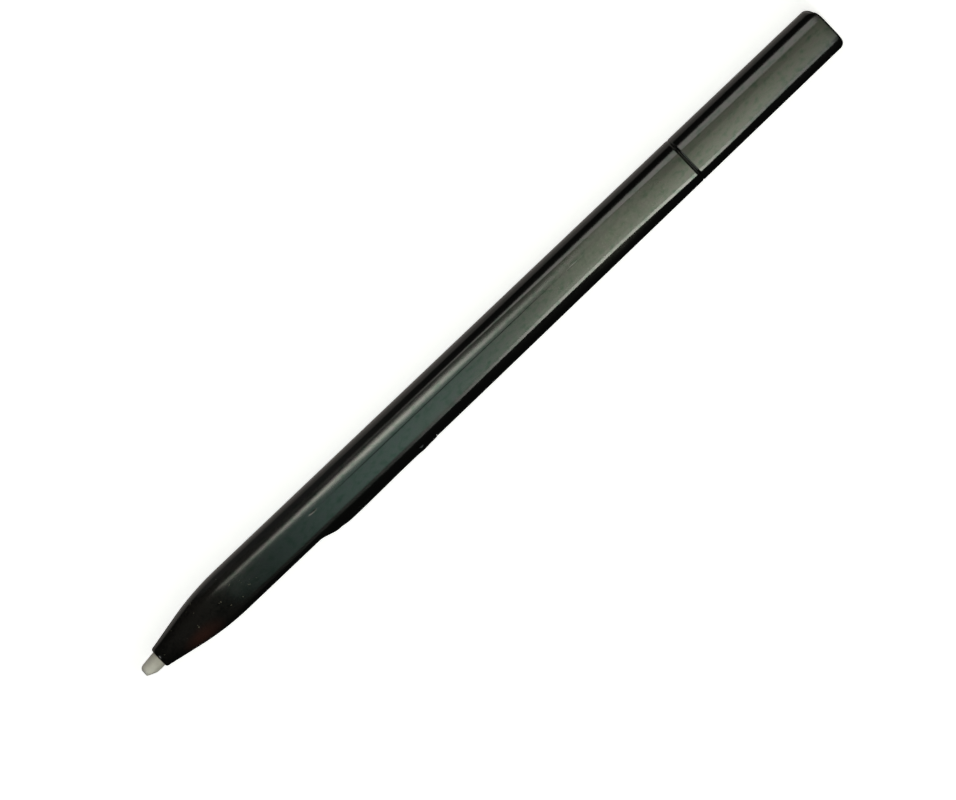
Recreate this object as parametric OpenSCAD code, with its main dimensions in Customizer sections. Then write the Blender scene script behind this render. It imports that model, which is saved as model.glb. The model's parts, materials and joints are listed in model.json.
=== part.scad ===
// Digitizer stylus pen: slim barrel with bullet nose, side key, replaceable nib and a pull-off tail cap.
// Millimetres. +X runs to the tail, the side key faces -Y, the flat with the sheen faces +Z.
// The pen lies on its lower flat, and the origin is the middle of the box around it, on the ground.

/* [Pen body] */
// Length over all, nib tip to tail end
overall_length = 130; // [120:0.5:140]
// Radius of the two round sides
body_radius = 3.9; // [3.5:0.05:4.5]
// How far the centre of the round sides lies towards the key
body_offset = 0.38; // [0:0.01:0.6]
// Thickness between the two flats
body_thickness = 6.48; // [6:0.02:7.5]
// Wall thickness
wall = 1.0; // [0.8:0.05:1.3]
// Half width on the key side, just behind the key
key_side_front = 4.245; // [4:0.005:4.5]
// Half width on the key side, at the tail
key_side_tail = 3.785; // [3.5:0.005:4.2]

/* [Tail cap] */
// Length of the tail cap
cap_length = 27; // [20:0.5:35]
// Gap between barrel and cap
seam_gap = 0.2; // [0.1:0.05:0.5]
// Chamfer on the rear edge of the barrel
seam_chamfer = 0.15; // [0.1:0.05:0.6]
// Chamfer on the front edge of the cap
cap_chamfer = 0.15; // [0.1:0.05:0.5]
// Length of the rounding at the tail, on the side away from the key
tail_round_length = 1.45; // [0.8:0.05:2.4]
// Width of the rounding at the tail, on the side away from the key
tail_round_width = 2.6; // [1.5:0.1:3]
// Corner radius of the tail on the key side
tail_radius_key = 1.0; // [0.6:0.1:2.4]
// Corner radius of the tail at the two flats
tail_radius_flat = 0.4; // [0.2:0.1:2]
// Thickness of the cap's closed end
cap_end_wall = 1.2; // [0.8:0.1:2]
// How far the sleeve reaches into the barrel, from the cap's front edge
sleeve_reach = 9; // [6:0.5:12]
// How far the sleeve is glued into the cap
sleeve_root = 8; // [5:0.5:14]
// Thickness of the sleeve wall
sleeve_wall = 0.75; // [0.5:0.05:1]
// Running clearance of the sleeve in the barrel
sleeve_clearance = 0.05; // [0.02:0.01:0.1]
// Distance of the grip ring behind the sleeve's front end
ring_setback = 3; // [2:0.25:5]
// Width of the grip ring
ring_width = 1.0; // [0.6:0.1:1.6]
// Radial thickness of the grip ring
ring_depth = 0.4; // [0.2:0.05:0.5]
// Running clearance of the grip ring in the barrel
ring_clearance = 0.02; // [0.01:0.01:0.05]

/* [Nose and grip] */
// Length of nib that stands out of the nose
nib_reveal = 2.9; // [2:0.1:4]
// Length of the bullet nose
nose_length = 13.8; // [10:0.1:18]
// Radius of the nose curve seen from above
nose_arc_plan = 42; // [36:0.5:60]
// Slope of the nose's straight taper seen from above
nose_taper_plan = 0.205; // [0.15:0.005:0.25]
// Radius of the nose curve seen from the side
nose_arc_side = 50; // [40:0.5:80]
// Slope of the nose's straight taper seen from the side
nose_taper_side = 0.19; // [0.15:0.005:0.25]
// Depth of the nib head's bore in the nose
nib_recess = 2.9; // [2.5:0.05:3.5]
// Radius of the cone that rounds the nose, at its front face
nose_cone_front = 1.72; // [1.6:0.01:2]
// Radius of the cone that rounds the nose, where the barrel begins
nose_cone_back = 4.7; // [4.3:0.05:5.2]
// Half width on both sides at the grip
grip_half_width = 3.52; // [3.3:0.01:3.7]
// Distance from the nib tip to the foot of the ramp up to the key
ramp_foot = 30.2; // [28:0.1:33]
// Length of the ramp up to the key
ramp_length = 3.3; // [2:0.1:5]

/* [Side key] */
// Distance from the nib tip to the front end of the key slot
slot_front = 33.6; // [32:0.1:36]
// Distance from the nib tip to the rear end of the key slot
slot_rear = 52.0; // [48:0.1:56]
// Half height of the key slot
slot_half_height = 1.55; // [1.2:0.05:1.8]
// Gap between key and slot at the sides
key_side_gap = 0.1; // [0.05:0.01:0.2]
// Gap between key and slot at the two ends
key_end_gap = 0.12; // [0.1:0.01:0.4]
// Half width at which the slot's cutter stops, inside the wall
slot_floor = 2.2; // [2:0.1:2.5]
// Largest half width, on the raised front of the key
key_crest = 4.42; // [4.3:0.01:4.6]
// Half width at the saddle of the key
key_saddle = 4.31; // [4.2:0.01:4.5]
// Half width where the key's front face meets its round-over
key_brow = 4.21; // [4.1:0.01:4.3]
// Half width where the key's rear face meets its round-over
key_heel = 4.05; // [3.9:0.01:4.2]
// Rise of the hump over the hinge
key_hump = 0.07; // [0.03:0.01:0.15]
// Half width at the inner face of the key
key_inner = 3.25; // [3:0.05:3.4]
// Distance from the nib tip to the hinge pin
pin_station = 49.3; // [46:0.1:52]
// Distance of the hinge pin from the nib axis
pin_side = 3.55; // [3.4:0.01:3.7]
// Radius of the hinge pin
pin_radius = 0.4; // [0.3:0.05:0.5]
// Half length of the hinge pin
pin_half_length = 1.98; // [1.8:0.01:2.1]
// Running clearance of the key on the pin
pin_clearance = 0.04; // [0.02:0.01:0.1]
// Radius of the hinge boss
boss_radius = 0.82; // [0.7:0.01:1]
// Radius of the key's push nub
nub_radius = 0.5; // [0.4:0.05:0.7]
// How far the key's hook reaches in front of the key
hook_reach = 1.25; // [1:0.05:1.5]

/* [Nib and sensor] */
// Radius of the nib where its blunt tip begins
nib_tip_radius = 1.08; // [0.7:0.01:1.1]
// Length of the nib's blunt tip
nib_tip_length = 0.8; // [0.4:0.05:1.1]
// Radius of the nib's head at the nose
nib_head_radius = 1.2; // [1:0.01:1.25]
// Running clearance of the nib head in the nose
nib_clearance = 0.1; // [0.02:0.01:0.12]
// Length of the nib's head
nib_head_length = 5.4; // [4:0.1:7]
// Radius of the nib's shaft
nib_shaft_radius = 0.65; // [0.5:0.01:0.8]
// Distance from the nib tip to the shaft's rear end
nib_shaft_end = 24.1; // [20:0.1:28]
// Outer radius of the nib holder's barrel
holder_radius = 1.15; // [1:0.05:1.3]
// Outer radius of the nib holder's rim
holder_rim_radius = 1.5; // [1.4:0.05:1.55]
// Length of the nib holder
holder_length = 2.8; // [2.5:0.1:3]
// Radius of the contact rubber
rubber_radius = 0.95; // [0.8:0.05:1]
// Length of the contact rubber
rubber_length = 0.9; // [0.7:0.05:1]
// Thickness of the dielectric disc
disc_thickness = 0.4; // [0.2:0.05:0.5]
// Thickness of the spacer ring
spacer_thickness = 0.3; // [0.2:0.05:0.4]
// Radius of the bore that holds the sensor
sensor_bore = 2.15; // [2:0.01:2.3]
// Distance from the nib tip to the front of the sensor bore
bore_front = 9.9; // [9:0.1:12]
// Outer radius of the ferrite core
core_radius = 1.6; // [1.4:0.05:1.7]
// Radius of the passage for the nib's shaft
shaft_passage = 0.75; // [0.7:0.01:0.9]
// Outer radius of the coil winding
coil_radius = 2.0; // [1.8:0.05:2.05]
// Length of the ferrite core
core_length = 10; // [8:0.5:12]
// Bare length of core at each end of the coil
core_bare = 1.0; // [0.5:0.1:2]
// Thickness of the front damper
front_damper_length = 0.6; // [0.3:0.1:1]
// Thickness of the rear damper
rear_damper_length = 0.5; // [0.3:0.1:1]
// Length of the sensor case
case_length = 8; // [7:0.1:9]
// Radius of the sensor case's chamber
chamber_radius = 1.6; // [1.5:0.05:1.7]
// Thickness of the sensor case's front wall
case_front_wall = 0.6; // [0.4:0.1:1]
// Radius of one coil lead
lead_radius = 0.08; // [0.05:0.01:0.12]
// Radius of one sensor terminal
terminal_radius = 0.15; // [0.1:0.01:0.2]
// Distance of each sensor terminal from the middle
terminal_side = 0.8; // [0.6:0.05:1]

/* [Electronics] */
// Thickness of the circuit board
board_thickness = 0.8; // [0.6:0.1:1]
// Half height of the circuit board
board_half_height = 1.9; // [1.7:0.05:2]
// Length of the circuit board
board_length = 61; // [50:0.5:61]
// Length of the switch along the pen
switch_length = 3.0; // [2.5:0.1:4]
// Half height of the switch
switch_half_height = 1.3; // [1.1:0.05:1.5]
// Depth of the switch base
switch_base_depth = 0.9; // [0.7:0.05:1.1]
// Thickness of the switch's metal cover
cover_thickness = 0.15; // [0.1:0.05:0.2]
// Radius of the switch plunger
plunger_radius = 0.55; // [0.4:0.05:0.7]
// Distance from the nib tip to the switch
switch_station = 40; // [38:0.1:42]
// Distance from the nib tip to the trimmer
trimmer_station = 72; // [65:0.5:80]
// Radius of the trimmer rotor
trimmer_radius = 0.9; // [0.7:0.05:1]
// Number of chip capacitors on each half of the board
chip_count = 4; // [2:1:6]
// Length of one chip capacitor
chip_length = 1.6; // [1:0.1:2]
// Pitch of the chip capacitors
chip_pitch = 3.2; // [2.4:0.1:4]

/* [Quality] */
// Segments in a full circle
segments = 72; // [48:8:128]

/* [Hidden] */
$fn = segments;
slack = 0.01;
far = 6;                                   // reach of a cutter well outside the body
flat = body_thickness / 2;
tip = -overall_length / 2;
tail = overall_length / 2;
nose_front = tip + nib_reveal;
nose_back = nose_front + nose_length;
cap_front = tail - cap_length;
barrel_back = cap_front - seam_gap;
ramp_x = tip + ramp_foot;
slot_x0 = tip + slot_front;
slot_x1 = tip + slot_rear;
pin_x = tip + pin_station;
cavity_lead = 1.6;
cavity_front = ramp_x + cavity_lead;       // where the bore widens into the main cavity
bore_x = tip + bore_front;
nib_shoulder = nose_front + nib_recess;
core_x0 = bore_x + front_damper_length;
core_x1 = core_x0 + core_length;
case_x0 = core_x1 + rear_damper_length;
case_x1 = case_x0 + case_length;
holder_gap = 1.0;                          // from the case's front face to the nib holder
holder_x0 = case_x0 + holder_gap;
holder_x1 = holder_x0 + holder_length;     // rear face of the nib holder
holder_rim = 0.6;
rubber_x1 = holder_x1 + rubber_length;
rubber_gap = 0.4;                          // the nib travels 0.3 before the rubber meets the disc
disc_x0 = rubber_x1 + rubber_gap;
disc_x1 = disc_x0 + disc_thickness;
spacer_x0 = disc_x0 - spacer_thickness;
spacer_inner = 1.1;
chamber_fit = 0.02;                        // clearance of the parts stacked in the chamber
passage_fit = 0.05;                        // the dampers' holes are wider than the passage by this
spring_wire = 0.1;
spring_radius = 1.3;
spring_turns = 3;
spring_x0 = holder_x1 + spring_wire;
spring_x1 = spacer_x0 - spring_wire;
board_gap = 2.0;                           // from the sensor case to the board
board_x0 = case_x1 + board_gap;
board_x1 = board_x0 + board_length;
board_face = -board_thickness / 2;         // the face that carries the parts
tail_length = 1.2;                         // how far terminals and leads lie on the board
terminal_y = board_face - terminal_radius;
lead_y = board_face - lead_radius;
lead_z = 1.78;
lead_groove = 0.4;
carrier_clearance = 0.04;
carrier_stop = 1.5;
carrier_x1 = board_x1 + carrier_stop;
carrier_groove = 1.3;
carrier_groove_depth = 1.2;
collar_inner = 1.3;
cushion_squeeze = 0.4;                     // how far the cushion's sides lie inside the cavity
cushion_x1 = cap_front - sleeve_reach - sleeve_clearance;
switch_x = tip + switch_station;
base_y = board_face - switch_base_depth;
cover_y = base_y - cover_thickness;
cover_lug = 0.12;
cover_inset = 0.3;
plunger_foot = 0.25;                       // thickness of the plunger's foot
plunger_foot_radius = 0.8;
plunger_foot_gap = 0.05;
plunger_proud = 0.5;
plunger_top = cover_y - plunger_proud;
nub_gap = 0.05;
well_radius = 0.95;
well_depth = 0.65;
dome_radius = 0.85;
dome_rise = 0.3;
dome_sheet = 0.08;
chip_depth = 0.7;
chip_half = 0.4;
chip_side = 1.05;                          // distance of each row of chips from the board's middle
chip_lead_pin = 3;                         // from the hinge pin to the first chip
chip_lead_trimmer = 5;                     // from the trimmer to the first chip
trimmer_x = tip + trimmer_station;
trimmer_length = 3.2;
trimmer_depth = 0.9;
trimmer_half_height = 1.4;
rotor_clearance = 0.03;
rotor_proud = 0.1;
rotor_slot = 0.15;
rotor_slot_depth = 0.25;
nose_lift = 0.005;                         // keeps the nose curves from only touching the sides
nose_steps = 14;
ring_x0 = cap_front - sleeve_reach + ring_setback;
key_x0 = slot_x0 + key_end_gap;
key_x1 = slot_x1 - key_end_gap;
key_root = key_inner + 0.4;                // the key's blocks and nub start this far out
hook_top = 3.02;
hook_depth = 0.6;
hook_half = 1.0;
arc_steps = 9;

// ---- helpers ----

// Moves the pen from its nib axis to the middle of its box, on the ground.
module place() { translate([0, (key_crest - grip_half_width) / 2, flat]) children(); }

module rod(x0, x1, r) { translate([x0, 0, 0]) rotate([0, 90, 0]) cylinder(h = x1 - x0, r = r); }

module tube(x0, x1, outer, inner) {
    difference() {
        rod(x0, x1, outer);
        rod(x0 - 1, x1 + 1, inner);
    }
}

// A pin along Y, from y0 to y1 (y0 < y1).
module post(x, y0, y1, r) { translate([x, y1, 0]) rotate([90, 0, 0]) cylinder(h = y1 - y0, r = r); }

// A pin along Z.
module upright(x, y, half, r) { translate([x, y, -half]) cylinder(h = 2 * half, r = r); }

module block(x0, x1, y0, y1, half) { translate([x0, y0, -half]) cube([x1 - x0, y1 - y0, 2 * half]); }

// The pen's section, drawn inwards by a distance.
module section(inset) {
    intersection() {
        translate([-body_offset, 0]) circle(r = body_radius - inset);
        translate([-far, -flat + inset]) square([2 * far, 2 * (flat - inset)]);
    }
}

module bar(x0, x1, inset) {
    translate([x0, 0, 0]) rotate([90, 0, 90]) linear_extrude(x1 - x0) section(inset);
}

module in_plan() { translate([0, 0, -far]) linear_extrude(2 * far) children(); }

module in_side() { translate([0, far, 0]) rotate([90, 0, 0]) linear_extrude(2 * far) children(); }

// Half width on the key side at a station along the pen.
function key_side(x) = key_side_front
    - (key_side_front - key_side_tail) * max(0, x - slot_x1) / (tail - slot_x1);

// Points on a round or oval arc, for rounded corners.
function arc(cx, cy, rx, ry, a0, a1) = [for (i = [0:arc_steps])
    let (a = a0 + (a1 - a0) * i / arc_steps) [cx + rx * cos(a), cy + ry * sin(a)]];

// How far the nose has drawn in, a run in front of its rear end: an arc, then a straight taper.
function nose_drop(run, r, slope) = let (bend = min(run, r * sin(atan(slope))))
    r - sqrt(r * r - bend * bend) + slope * (run - bend);

// One edge of the nose, from its rear end (share 1) to its front, or the other way round.
function nose_edge(half, r, slope, from, to) = [for (i = [0:nose_steps])
    let (run = nose_length * (1 - (from + (to - from) * i / nose_steps)))
    [nose_back - run, half - nose_drop(run, r, slope)]];

function turned_over(points) = [for (p = points) [p[0], -p[1]]];

// ---- barrel ----

module barrel_outline() {
    polygon(concat(
        nose_edge(grip_half_width + nose_lift, nose_arc_plan, nose_taper_plan, 0, 1),
        [[nose_back, far], [barrel_back, far], [barrel_back, -key_side(barrel_back) + seam_chamfer],
         [barrel_back - seam_chamfer, -key_side(barrel_back)], [slot_x1, -key_side(slot_x1)],
         [ramp_x + ramp_length, -key_side(slot_x1)], [ramp_x, -grip_half_width]],
        turned_over(nose_edge(grip_half_width, nose_arc_plan, nose_taper_plan, 1, 0))));
}

module barrel_profile() {
    rear = barrel_back - seam_chamfer - far + flat;
    polygon(concat(
        nose_edge(flat + nose_lift, nose_arc_side, nose_taper_side, 0, 1),
        [[nose_back, far], [rear, far], [barrel_back, flat - seam_chamfer],
         [barrel_back, -flat + seam_chamfer], [rear, -far], [nose_back, -far]],
        turned_over(nose_edge(flat + nose_lift, nose_arc_side, nose_taper_side, 1, 0))));
}

// Rounds the nose, and chamfers the round sides at the rear edge.
module barrel_turning() {
    translate([nose_front, 0, 0]) rotate([0, 90, 0])
        cylinder(h = nose_length + slack, r1 = nose_cone_front, r2 = nose_cone_back);
    block(nose_back, barrel_back - 2 * seam_chamfer, -far, far, far);
    translate([barrel_back - 2 * seam_chamfer, -body_offset, 0]) rotate([0, 90, 0])
        cylinder(h = 2 * seam_chamfer, r1 = body_radius + seam_chamfer, r2 = body_radius - seam_chamfer);
}

module barrel() {
    color([0.07, 0.07, 0.07]) place() difference() {
        intersection() {
            bar(nose_front, barrel_back, 0);
            in_plan() barrel_outline();
            in_side() barrel_profile();
            barrel_turning();
        }
        rod(nose_front - 1, nib_shoulder, nib_head_radius + nib_clearance);
        rod(nose_front, bore_x + 1, shaft_passage);
        rod(bore_x, cavity_front + slack, sensor_bore);
        bar(cavity_front, barrel_back + 1, wall);
        block(slot_x0, slot_x1, -far, -slot_floor, slot_half_height);
        upright(pin_x, -pin_side, far, pin_radius);
    }
}

// ---- tail cap ----

module cap_outline() {
    y1 = -key_side(tail);
    r = tail_radius_key;
    polygon(concat(
        [[cap_front, -key_side(cap_front) + cap_chamfer], [cap_front, grip_half_width - cap_chamfer],
         [cap_front + cap_chamfer, grip_half_width + slack],
         [tail - tail_round_length, grip_half_width + slack]],
        arc(tail - tail_round_length, grip_half_width - tail_round_width, tail_round_length,
            tail_round_width, 88, 0),
        arc(tail - r, y1 + r, r, r, 0, -89),
        [[cap_front + cap_chamfer, -key_side(cap_front)]]));
}

module cap_profile() {
    r = tail_radius_flat;
    polygon(concat(
        [[cap_front, -flat + cap_chamfer], [cap_front, flat - cap_chamfer],
         [cap_front + cap_chamfer, flat + slack], [tail - r, flat + slack]],
        arc(tail - r, flat - r, r, r, 86, 0),
        arc(tail - r, r - flat, r, r, 0, -86),
        [[tail - r, -flat - slack], [cap_front + cap_chamfer, -flat - slack]]));
}

// Rounds the round sides at the tail and chamfers them at the seam.
module cap_turning() {
    r = tail_round_length;
    translate([0, -body_offset, 0]) rotate([0, 90, 0]) rotate_extrude() polygon(concat(
        [[0, cap_front], [body_radius - cap_chamfer, cap_front],
         [body_radius + slack, cap_front + cap_chamfer + slack], [body_radius + slack, tail - r]],
        arc(body_radius - r, tail - r, r, r, 2, 90),
        [[0, tail]]));
}

module tail_cap() {
    color([0.07, 0.07, 0.07]) place() difference() {
        intersection() {
            bar(cap_front, tail, 0);
            in_plan() cap_outline();
            in_side() cap_profile();
            cap_turning();
        }
        bar(cap_front - 1, tail - cap_end_wall, wall);
    }
}

module cap_sleeve() {
    color([0.1, 0.1, 0.11]) place() difference() {
        union() {
            bar(cap_front - sleeve_reach, cap_front - seam_gap / 2, wall + sleeve_clearance);
            bar(cap_front - seam_gap / 2 - slack, cap_front + sleeve_root, wall);
        }
        bar(cap_front - sleeve_reach - 1, cap_front + sleeve_root + 1, wall + sleeve_wall);
        difference() {
            bar(ring_x0, ring_x0 + ring_width, wall - 1);
            bar(ring_x0 - 1, ring_x0 + ring_width + 1, wall + ring_depth);
        }
    }
}

module cap_grip_ring() {
    color([0.16, 0.16, 0.16]) place() difference() {
        bar(ring_x0, ring_x0 + ring_width, wall + ring_clearance);
        bar(ring_x0 - 1, ring_x0 + ring_width + 1, wall + ring_depth);
    }
}

// ---- nib and pressure sensor ----

module nib() {
    color([0.74, 0.74, 0.71]) place() translate([tip, 0, 0]) rotate([0, 90, 0]) rotate_extrude()
        polygon(concat(
            arc(0, nib_tip_length, nib_tip_radius, nib_tip_length, -90, 0),
            [[nib_head_radius, nib_reveal], [nib_head_radius, nib_head_length],
             [nib_shaft_radius, nib_head_length], [nib_shaft_radius, nib_shaft_end], [0, nib_shaft_end]]));
}

module nib_holder() {
    color([0.85, 0.85, 0.83]) place() difference() {
        union() {
            rod(holder_x0, holder_x1, holder_radius);
            rod(holder_x1 - holder_rim, holder_x1, holder_rim_radius);
        }
        rod(holder_x0 - 1, tip + nib_shaft_end, nib_shaft_radius);
    }
}

module contact_rubber() {
    color([0.12, 0.12, 0.12]) place() rod(holder_x1, rubber_x1, rubber_radius);
}

// A round wire wound along X.
module return_spring() {
    around = 8;
    steps = 24;
    last = spring_turns * steps;
    pitch = (spring_x1 - spring_x0) / spring_turns;
    points = [for (i = [0:last], j = [0:around - 1]) let (
        a = 360 * i / steps, b = 360 * j / around, r = spring_radius + spring_wire * cos(b))
        [spring_x0 + pitch * i / steps + spring_wire * sin(b), r * cos(a), r * sin(a)]];
    sides = [for (i = [0:last - 1], j = [0:around - 1]) let (k = (j + 1) % around)
        [i * around + j, i * around + k, (i + 1) * around + k, (i + 1) * around + j]];
    front = [for (j = [0:around - 1]) around - 1 - j];
    back = [for (j = [0:around - 1]) last * around + j];
    color([0.75, 0.76, 0.78]) place() polyhedron(points, concat(sides, [front, back]), convexity = 6);
}

module spacer_ring() {
    color([0.8, 0.75, 0.6]) place() tube(spacer_x0, disc_x0, chamber_radius - chamber_fit, spacer_inner);
}

module dielectric_disc() {
    color([0.88, 0.86, 0.78]) place() rod(disc_x0, disc_x1, chamber_radius - chamber_fit);
}

// Grooves for the two coil leads, cut from whatever they pass.
module lead_grooves(x0, x1) {
    start = lead_z - lead_groove / 2;
    for (z = [start, -far]) translate([x0, lead_y - lead_groove / 2, z])
        cube([x1 - x0, lead_groove, far - start]);
}

module sensor_case() {
    color([0.2, 0.2, 0.22]) place() difference() {
        rod(case_x0, case_x1, sensor_bore);
        rod(case_x0 + case_front_wall, case_x1 + 1, chamber_radius);
        rod(case_x0 - 1, case_x1, shaft_passage);
        lead_grooves(case_x0 - 1, case_x1 + 1);
    }
}

module terminal_pins(x0, x1) {
    for (side = [-1, 1]) translate([0, terminal_y, side * terminal_side]) rod(x0, x1, terminal_radius);
}

module sensor_plug() {
    color([0.25, 0.24, 0.22]) place() difference() {
        rod(disc_x1, case_x1, chamber_radius - chamber_fit);
        terminal_pins(disc_x1 - 1, case_x1 + 1);
    }
}

module sensor_terminals() {
    color([0.8, 0.66, 0.3]) place() terminal_pins(disc_x1, board_x0 + tail_length);
}

module ferrite_core() {
    color([0.2, 0.19, 0.19]) place() tube(core_x0, core_x1, core_radius, shaft_passage);
}

module coil_winding() {
    color([0.7, 0.36, 0.16]) place()
        tube(core_x0 + core_bare, core_x1 - core_bare, coil_radius, core_radius);
}

module front_damper() {
    color([0.15, 0.15, 0.15]) place() tube(bore_x, core_x0, sensor_bore, shaft_passage + passage_fit);
}

module rear_damper() {
    color([0.15, 0.15, 0.15]) place() difference() {
        tube(core_x1, case_x0, sensor_bore, shaft_passage + passage_fit);
        lead_grooves(core_x1 - 1, case_x0 + 1);
    }
}

module coil_leads() {
    color([0.72, 0.4, 0.2]) place() for (side = [-1, 1])
        translate([0, lead_y, side * lead_z]) rod(core_x1 - core_bare, board_x0 + tail_length, lead_radius);
}

// ---- side key ----

// The outside of the key seen from above: raised front, long saddle, low hump over the hinge, flush rear.
module key_outline() {
    crest = -key_crest;
    saddle = -key_saddle;
    near = 0.01;
    polygon([[key_x0, -key_inner], [key_x0, -key_brow], [key_x0 + 0.5, crest + 8 * near],
        [key_x0 + 1.3, crest + near], [key_x0 + 2.4, crest], [key_x0 + 4.5, crest + near],
        [key_x0 + 8, saddle - 5 * near], [key_x0 + 12, saddle], [pin_x - 1, saddle],
        [pin_x, saddle - key_hump], [pin_x + 1, saddle], [key_x1 - 0.45, saddle + 2 * near],
        [key_x1 - 0.15, -key_heel - 0.13], [key_x1, -key_heel], [key_x1, -key_inner]]);
}

module side_key() {
    half = slot_half_height - key_side_gap;
    color([0.08, 0.08, 0.08]) place() difference() {
        union() {
            intersection() {
                in_plan() key_outline();
                translate([0, -body_offset, 0]) rod(slot_x0, slot_x1, key_crest - body_offset + slack / 4);
                block(slot_x0, slot_x1, -far, 0, half);
            }
            upright(pin_x, -pin_side, half, boss_radius);
            block(key_x0, key_x0 + 1, -key_root, -hook_top + hook_depth, hook_half);
            block(key_x0 - hook_reach, key_x0 + 1, -hook_top, -hook_top + hook_depth, hook_half);
            post(switch_x, -key_root, plunger_top - nub_gap, nub_radius);
        }
        upright(pin_x, -pin_side, far, pin_radius + pin_clearance);
    }
}

module key_hinge_pin() {
    color([0.72, 0.73, 0.75]) place() upright(pin_x, -pin_side, pin_half_length, pin_radius);
}

// ---- switch ----

module switch_base() {
    color([0.14, 0.14, 0.14]) place() difference() {
        block(switch_x - switch_length / 2, switch_x + switch_length / 2, base_y, board_face,
            switch_half_height);
        post(switch_x, base_y - 1, base_y + well_depth, well_radius);
    }
}

module switch_cover() {
    x = switch_length / 2;
    color([0.78, 0.79, 0.8]) place() difference() {
        block(switch_x - x - cover_lug, switch_x + x + cover_lug, cover_y, base_y + well_depth,
            switch_half_height - cover_inset);
        block(switch_x - x, switch_x + x, base_y, base_y + 1, switch_half_height + 1);
        post(switch_x, cover_y - 1, base_y + 1, plunger_radius + plunger_foot_gap);
    }
}

module switch_dome() {
    ball = (dome_radius * dome_radius + dome_rise * dome_rise) / (2 * dome_rise);
    foot_y = base_y + well_depth;
    color([0.82, 0.82, 0.8]) place() intersection() {
        difference() {
            translate([switch_x, foot_y - dome_rise + ball, 0]) sphere(r = ball);
            translate([switch_x, foot_y - dome_rise + ball, 0]) sphere(r = ball - dome_sheet);
        }
        post(switch_x, foot_y - 1, foot_y, dome_radius + 0.05);
    }
}

module switch_plunger() {
    foot_y = base_y + plunger_foot_gap;
    color([0.6, 0.14, 0.1]) place() {
        post(switch_x, foot_y, foot_y + plunger_foot, plunger_foot_radius);
        post(switch_x, plunger_top, foot_y + plunger_foot / 2, plunger_radius);
    }
}

// ---- circuit board and its carrier ----

module circuit_board() {
    color([0.1, 0.35, 0.2]) place() block(board_x0, board_x1, board_face, -board_face, board_half_height);
}

module chip_capacitors() {
    color([0.62, 0.5, 0.38]) place()
        for (start = [pin_x + chip_lead_pin, trimmer_x + chip_lead_trimmer], side = [-1, 1],
            i = [0:chip_count - 1])
            translate([start + i * chip_pitch, board_face - chip_depth, side * chip_side - chip_half])
                cube([chip_length, chip_depth, 2 * chip_half]);
}

module trimmer_body() {
    x = trimmer_length / 2;
    color([0.85, 0.8, 0.66]) place() difference() {
        block(trimmer_x - x, trimmer_x + x, board_face - trimmer_depth, board_face, trimmer_half_height);
        post(trimmer_x, board_face - trimmer_depth - 1, board_face - trimmer_depth / 2,
            trimmer_radius + rotor_clearance);
    }
}

module trimmer_rotor() {
    y0 = board_face - trimmer_depth - rotor_proud;
    y1 = board_face - trimmer_depth / 2 - rotor_clearance;
    color([0.83, 0.68, 0.35]) place() difference() {
        post(trimmer_x, y0, y1, trimmer_radius);
        block(trimmer_x - rotor_slot, trimmer_x + rotor_slot, y0 - 1, y0 + rotor_slot_depth, 2);
        block(trimmer_x - 2, trimmer_x + 2, y0 - 1, y0 + rotor_slot_depth, rotor_slot);
    }
}

// A trough behind the board, with a collar on the sensor case and a stop at the rear.
module board_carrier() {
    color([0.3, 0.3, 0.32]) place() {
        difference() {
            tube(case_x1, cavity_front, sensor_bore - carrier_clearance, collar_inner);
            block(board_x0 - carrier_clearance, cavity_front + 1, -far, -board_face, far);
            lead_grooves(case_x1 - 1, cavity_front + 1);
        }
        difference() {
            intersection() {
                bar(cavity_front, carrier_x1, wall + carrier_clearance);
                block(cavity_front - slack, carrier_x1, -board_face, far, far);
            }
            block(cavity_front - 1, board_x1, -far, -board_face + carrier_groove_depth, carrier_groove);
        }
        bar(board_x1, carrier_x1, wall + carrier_clearance);
    }
}

module tail_cushion() {
    color([0.22, 0.22, 0.22]) place() bar(carrier_x1, cushion_x1, wall + cushion_squeeze);
}

barrel();
tail_cap();
cap_sleeve();
cap_grip_ring();
nib();
nib_holder();
contact_rubber();
return_spring();
spacer_ring();
dielectric_disc();
sensor_case();
sensor_plug();
sensor_terminals();
ferrite_core();
coil_winding();
front_damper();
rear_damper();
coil_leads();
side_key();
key_hinge_pin();
switch_base();
switch_cover();
switch_dome();
switch_plunger();
circuit_board();
chip_capacitors();
trimmer_body();
trimmer_rotor();
board_carrier();
tail_cushion();
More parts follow.
